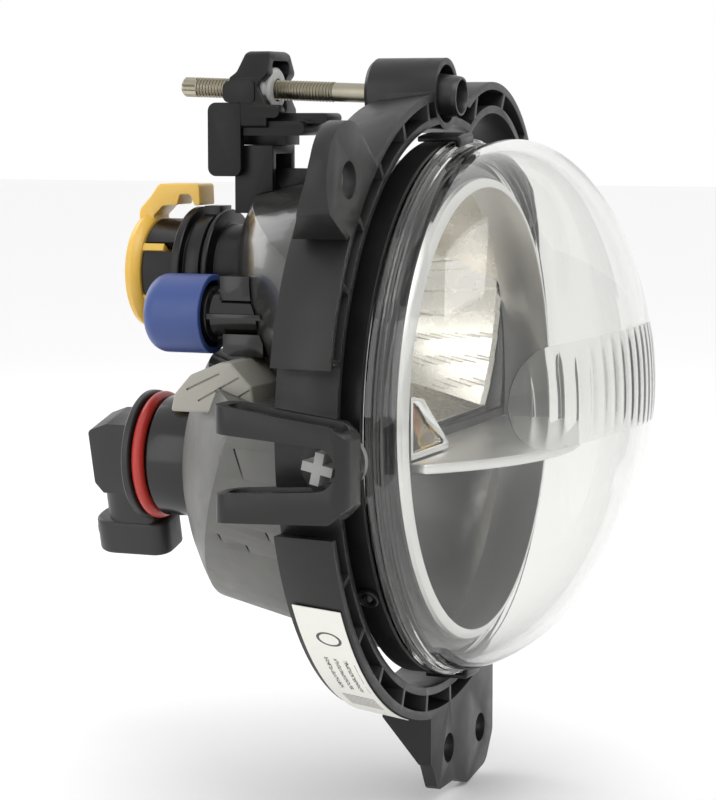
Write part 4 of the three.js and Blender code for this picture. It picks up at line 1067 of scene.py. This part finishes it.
# ---- signal socket -------------------------------------------------------------------
# The upper chamber's black socket, moulded with a flange and split at its rear into six
# fingers that hold the bulb's base.
signal_socket = turned([
    (9.6, 45), (11.3, 45), (11.3, 53.4), (12.2, 53.7), (14.6, 53.7), (14.8, 54), (14.8, 54.7), (14.6, 54.9),
    (12.9, 54.9), (12.9, 55.9), (14, 56.1), (14, 59.4), (13.1, 59.6), (13.1, 60.5), (15.1, 60.5),
    (15.3, 60.8), (15.3, 62.2), (15.1, 62.5), (12.4, 62.5), (12.4, 71.1), (12.1, 71.5), (9.6, 71.5)],
    0, signal_z, 96)
finger_gap = brick(-1.2, 1.2, 64, 73, 8, 14)
cut(signal_socket, ring_of_copies(finger_gap, 6, z=signal_z))
join(signal_socket, brick(-3.2, 3.2, 55.2, 59.2, signal_z + 12, signal_z + 15.6))
put(eased(signal_socket, 0.25), "socket_signal", black_look, "lamp", ["signal_socket"])

# ---- signal bulb ---------------------------------------------------------------------
# A small amber bulb in a translucent yellow nylon base. The base has a thick hoop, a
# hooked latch on top, spokes between the socket's fingers and a two-way plug recess.
yellow_look = moulded("yellow_nylon", (0.66, 0.42, 0.075), gloss=0.32, drift=0.15, depth=0.05,
                      glow_through=0.45)
yellow = turned([
    (8.6, 71.8), (12.6, 71.8), (13.5, 72.6), (13.9, 73.8), (13.4, 75.2), (12.2, 75.8), (8.6, 75.8)],
    0, signal_z, 96)
cut(yellow, turned([(8.3, 73.6), (11.2, 73.6), (11.9, 77), (8.3, 77)], 0, signal_z, 96))
hub = turned([(0, 60), (7.6, 60), (7.6, 73.6), (7.6, 74.4), (7.2, 74.8), (0, 74.8)], 0, signal_z, 72)
join(yellow, hub)
spoke = brick(-0.9, 0.9, 66.5, 72.5, 7, 12.2)
join(yellow, ring_of_copies(spoke, 6, z=signal_z))
cut(yellow, brick(-4.6, 4.6, 66, 80, signal_z - 3.2, signal_z + 3.2))
latch_outline = rounded([
    (75.7, 40.6, 0.3), (75.8, 44.2, 2.5), (72.6, 47.6, 2), (70.6, 50.4, 1.6), (60.3, 50.4, 0.8),
    (60.1, 45.5, 0.4), (61.4, 45.3, 0.4), (62.4, 48.0, 1.2), (65.3, 48.0, 0.8), (66.1, 45.5, 0.4),
    (69.8, 45.2, 0.8), (72.1, 42.9, 0.8), (72.1, 40.6, 0.3)])
latch = prism(latch_outline, -4.2, 4.2, "x")
join(yellow, latch)
put(eased(yellow, 0.3, 3), "bulb_base", yellow_look, "signal_bulb", ["signal_base"])

amber_bulb = turned([
    (0, 36), (1.9, 36.15), (3.3, 36.9), (4.2, 38.1), (4.6, 39.8), (4.6, 59.7), (3.2, 59.7), (3.2, 41),
    (2.6, 39.6), (1.5, 38.6), (0, 38.2)], 0, signal_z, 64)
put(amber_bulb, "amber_capsule", amber_look, "signal_bulb", ["signal_glass"])

steel_look = moulded("nickel_steel", (0.58, 0.56, 0.52), gloss=0.26, drift=0.15, grain=3000,
                     depth=0.08, metal=1.0)


def coil(turns, radius, wire, x0, x1, y, z, along="x"):
    """A filament: a thin wire wound round an axis."""
    steps, sides = turns * 16, 6
    points, faces = [], []
    for k in range(steps + 1):
        a = 2 * math.pi * k / 16
        d = x0 + (x1 - x0) * k / steps
        for s in range(sides):
            b = 2 * math.pi * s / sides
            r = radius + wire * math.cos(b)
            shift = d + wire * math.sin(b)
            if along == "x":
                points.append((shift, y + r * math.cos(a), z + r * math.sin(a)))
            else:
                points.append((y + r * math.cos(a), shift, z + r * math.sin(a)))
    for k in range(steps):
        for s in range(sides):
            t = (s + 1) % sides
            faces.append([k * sides + s, k * sides + t, (k + 1) * sides + t, (k + 1) * sides + s])
    faces.append(list(range(sides)))
    faces.append([steps * sides + s for s in range(sides)][::-1])
    return loose("coil", points, faces)


signal_wire = coil(9, 0.45, 0.07, -1.5, 1.5, 45, signal_z)
posts = [
    turned([(0, 44.8), (0.26, 44.9), (0.3, 45.2), (0.3, 59.7), (0, 59.7)], side * 1.6, signal_z, 16)
    for side in (-1, 1)]
put(joined_with(signal_wire, *posts), "signal_coil", steel_look, "signal_bulb", ["signal_filament"])
for x, name, node in (
        (-2.9, "plug_blade_left", "signal_contact_left"), (2.9, "plug_blade_right", "signal_contact_right")):
    blade = plate([
        (66.3, signal_z - 1.2), (74.4, signal_z - 1.2, 0.8), (74.4, signal_z + 1.2, 0.8),
        (66.3, signal_z + 1.2)], x - 0.4, x + 0.4, "x")
    put(eased(blade, 0.12), name, steel_look, "signal_bulb", [node])

# ---- fog socket ----------------------------------------------------------------------
# A plain glossy black collar on the lower chamber that the fog bulb turns into.
gloss_black = moulded("gloss_black", (0.006, 0.006, 0.0065), gloss=0.18, drift=0.5, grain=500,
                      depth=0.05)
fog_socket = turned([
    (12.4, 54.5), (14.4, 54.5), (14.4, 69.5), (14.1, 69.9), (13.4, 70.3), (12.4, 70.3)], 0, fog_z, 120)
put(eased(fog_socket, 0.15), "socket_fog", gloss_black, "lamp", ["fog_socket"])

# ---- fog bulb ------------------------------------------------------------------------
# A right-angle halogen bulb: a black nylon base with a round flange, an elbow and a plug
# hood, a red silicone ring, a steel collar with three lugs and a clear glass capsule.
fog_place = Matrix.Translation((0, 0, fog_z)) @ Matrix.Rotation(math.radians(-14.5), 4, "Y")


def placed(thing):
    thing.data.transform(fog_place)
    return thing


elbow_look = moulded("elbow_nylon", (0.014, 0.014, 0.014), gloss=0.42, drift=0.5, grain=2600, depth=0.2)
fog_base = turned([
    (0, 58), (10, 58), (10, 73.9), (15.2, 73.9), (15.5, 74.2), (15.5, 75.5), (15.1, 75.9), (0, 75.9)],
    facets=120)
elbow_box = prism(rounded([
    (75, 9.5), (83.4, 9.5, 1.5), (88.4, 7.6, 1.2), (88.4, -5.8, 1.2), (86.4, -8.4, 0.5), (75, -8.4)], 4),
    -6.0, 6.0, "x")
stem = plate([
    (-5.7, 74, 2), (5.7, 74, 2), (5.7, 88.0, 5.4), (-5.7, 88.0, 5.4)], -17, -6, "z")
rib_behind = prism([(75, -8), (79, -8), (77.5, -15.5), (75, -15.5)], -0.8, 0.8, "x")
hood = prism(rounded([
    (-6.2, 71.4, 4), (6.2, 71.4, 4), (6.2, 91.2, 5.4), (-6.2, 91.2, 5.4)], 8), -24.4, -16, "z")
hood = eased(hood, 0.8, 3)
cut(hood, prism(rounded([
    (-4.7, 72.9, 3), (4.7, 72.9, 3), (4.7, 89.7, 4.2), (-4.7, 89.7, 4.2)], 8), -26, -17.5, "z"))
catch = plate([(-2.4, 90.0), (2.4, 90.0), (2.4, 91.2), (-2.4, 91.2)], -20.4, -18.6, "z")
join(fog_base, elbow_box, stem, rib_behind, hood, catch)
put(placed(eased(fog_base, 0.35)), "elbow_base", elbow_look, "fog_bulb", ["fog_bulb_base"])

ring_points, ring_facets, cord_facets = [], 160, 24
for k in range(ring_facets):
    a = 2 * math.pi * k / ring_facets
    for s in range(cord_facets):
        b = 2 * math.pi * s / cord_facets
        r = 13.8 + 1.5 * math.cos(b)
        ring_points.append((r * math.cos(a), 72.1 + 1.5 * math.sin(b), r * math.sin(a)))
silicone_ring = loose("cord", ring_points, ring_of_rows(ring_facets, cord_facets))
red_look = moulded("red_silicone", (0.42, 0.028, 0.020), gloss=0.34, drift=0.12, depth=0.04,
                   glow_through=0.15)
put(placed(silicone_ring), "silicone_ring", red_look, "fog_bulb", ["fog_seal"])

collar = turned([(5.9, 52), (8.4, 52), (8.6, 52.2), (8.6, 57.5), (8.4, 57.7), (5.9, 57.7)], facets=72)
lug = plate([(-2, 8), (2, 8), (2, 11.1, 0.8), (-2, 11.1, 0.8)], 55.4, 56.6)
join(collar, ring_of_copies(lug, 3))
put(placed(eased(collar, 0.15)), "steel_collar", steel_look, "fog_bulb", ["fog_collar"])
glass_look = clear_glass("bulb_glass", (0.98, 0.98, 0.98), 0.0, 1.46)
capsule = turned([
    (0, 29), (1.2, 29.1), (2.8, 29.7), (4.3, 30.7), (5.2, 32), (5.5, 33.6), (5.5, 57.7), (4.5, 57.7),
    (4.5, 34), (4.1, 32.7), (3, 31.9), (0, 31.4)], facets=64)
put(placed(capsule), "glass_capsule", glass_look, "fog_bulb", ["fog_glass"])
fog_wire = coil(14, 0.8, 0.1, 38, 44, 0, 0, "y")
leads = [
    turned([(0, 43.8), (0.35, 43.9), (0.4, 44.2), (0.4, 57.7), (0, 57.7)], 0, 0, 16),
    turned([(0, 37), (0.35, 37.1), (0.4, 37.4), (0.4, 57.7), (0, 57.7)], 0, 2.8, 16),
    prism(disc_points(0, 37.6, 0.4, 16), 0.6, 2.8, "z"),
]
put(placed(joined_with(fog_wire, *leads)), "fog_coil", steel_look, "fog_bulb", ["fog_filament"])
for name, node, y in (
        ("hood_blade_front", "fog_terminal_front", 78.2), ("hood_blade_rear", "fog_terminal_rear", 84.4)):
    blade = plate([
        (-1.4, -18, 0), (-1.4, -22.4, 0.9), (1.4, -22.4, 0.9), (1.4, -18, 0)], y - 0.4, y + 0.4)
    put(placed(eased(blade, 0.12)), name, steel_look, "fog_bulb", [node])

# ---- nut bracket ---------------------------------------------------------------------
# A black nylon bracket snapped onto the tower. Its loop holds the travelling nut by two
# round pockets; a side flag and rounded fins stiffen its foot.
rough_black = moulded("bracket_nylon", (0.003, 0.003, 0.0035), gloss=0.40, drift=0.5,
                      grain=2400, depth=0.25, level=0.3)
nut_z = 72.42
bracket = plate([
    (-8.8, 63.6, 1), (8.8, 63.6, 1), (8.8, 75.0, 1.5), (5.4, 81.2, 2), (-5.4, 81.2, 2), (-8.8, 75.0, 1.5)],
    40.9, 50.1)
loop_side = rounded([
    (39, 60), (52, 60), (50.1, 68, 1), (51, 70.5, 1.5), (50.8, 74.5, 1.5), (48.6, 76.4, 2), (47.2, 81.3, 1.5),
    (41.2, 81.3, 1.5), (40.9, 76, 2), (43.4, 73.2, 1), (41, 68, 1)], 5)
trim(bracket, prism(loop_side, -20, 20, "x"))
cut(bracket, hole(5.75, 0, nut_z, 36, 54, 64))
cut(bracket, turned_x([(0, -7), (3.35, -7), (3.35, 7), (0, 7)], 45.5, nut_z, 48))
cut(bracket, plate([(-3, 72), (3, 72), (5.6, 79, 1.5), (-5.6, 79, 1.5)], 38, 44))
flag = plate([(47.3, 52.4, 2), (55.6, 52.4, 2), (55.6, 69.4, 2), (47.3, 69.4, 1.2)], -9, -6.9, "x")
flag_reach = plate([(36.2, 65.9, 1.4), (52, 65.9), (54, 68.9), (38.5, 68.9, 1.4)], -8.9, -5.5, "x")
join(bracket, flag, flag_reach)
for y0, y1, z0, z1, half in ((32.0, 50.1, 61.8, 65.1, 7.4), (27.5, 41, 64.6, 67.0, 4.4)):
    round_end = (z1 - z0) * 0.49
    fin = plate([(y0, z0, round_end), (y1, z0, 0.3), (y1, z1, 0.3), (y0, z1, round_end)],
                -half, half, "x")
    join(bracket, fin)
cheek = plate([
    (43.7, 69.4, 1), (51.6, 69.4, 1.5), (51.6, 74.4, 1.8), (43.7, 74.4, 1)], -9.3, -6.9, "x")
join(bracket, cheek, brick(-4, 4, 38, 49, 59.6, 64))
put(eased(bracket, 0.4), "nut_holder", rough_black, "lamp", ["nut_bracket"])

# ---- tower ---------------------------------------------------------------------------
# The upright post on the upper chamber that carries the bracket, hollow at its front.
post = brick(-6.6, 6.6, 40.3, 49.8, 34.7, 59.5)
cut(post, brick(-4.6, 4.6, 38, 47.8, 50, 57.6))
web = brick(-2, 2, 6, 43.8, 46, 54.2)
join(post, web)
cut(post, chamber(signal_size, -outside_gap))
cut(post, hole(15.6, 0, signal_z, 40, 75, 96))
put(eased(post, 0.4), "tower_post", rough_black, "lamp", ["housing_tower"])

# ---- vent ----------------------------------------------------------------------------
# A breather stub on the upper chamber: a glossy tube between two flat boxes, a level fin
# and a soft blue cap pressed over its rear end.
vent_x, vent_z = -25.0, 21.7
vent = turned([
    (3.6, 33), (5.2, 33), (5.2, 45.6), (6.4, 46.1), (6.4, 50.7), (5.2, 50.9), (5.2, 57.7), (3.6, 57.7)],
    vent_x, vent_z, 64)
box_left, box_right = vent_x - 4.6, vent_x + 3
join(vent, brick(vent_x - 7.4, vent_x + 7.4, 30, 45.7, vent_z - 0.6, vent_z + 0.6),
     brick(vent_x - 0.6, vent_x + 0.6, 35.6, 45.7, vent_z - 7.4, vent_z + 7.4),
     prism([(35.6, 25.2), (43.2, 25.2), (43.2, 30.6), (35.6, 30.6)], box_left, box_right, "x"),
     prism([(32.8, 17.6), (42.6, 17.6), (42.6, 13.6), (41.1, 12.6), (32.8, 12.6)], box_left, box_right, "x"))
cut(vent, chamber(signal_size, -outside_gap))
trim(vent, half_space(True, 0.5))
cut(vent, hole(3.6, vent_x, vent_z, 30, 60, 48))
put(eased(vent, 0.2), "vent_stub", gloss_black, "lamp", ["vent_tube"])

blue_look = moulded("blue_rubber", (0.030, 0.060, 0.21), gloss=0.40, drift=0.15, grain=1800,
                    depth=0.06, glow_through=0.1)
cap_outline = [(7.6, 46.9), (7.8, 46.7), (8.8, 46.7), (9, 46.9)]
for k in range(13):
    a = math.radians(90 * k / 12)
    cap_outline.append((5.2 + 3.8 * math.cos(a), 57.6 + 4.1 * math.sin(a)))
cap_outline += [(0, 61.7), (0, 60.3), (5, 60.3), (7.6, 57.6)]
put(turned(cap_outline, vent_x, vent_z, 96), "breather_cap", blue_look, "lamp", ["vent_cap"],
    smooth=40)
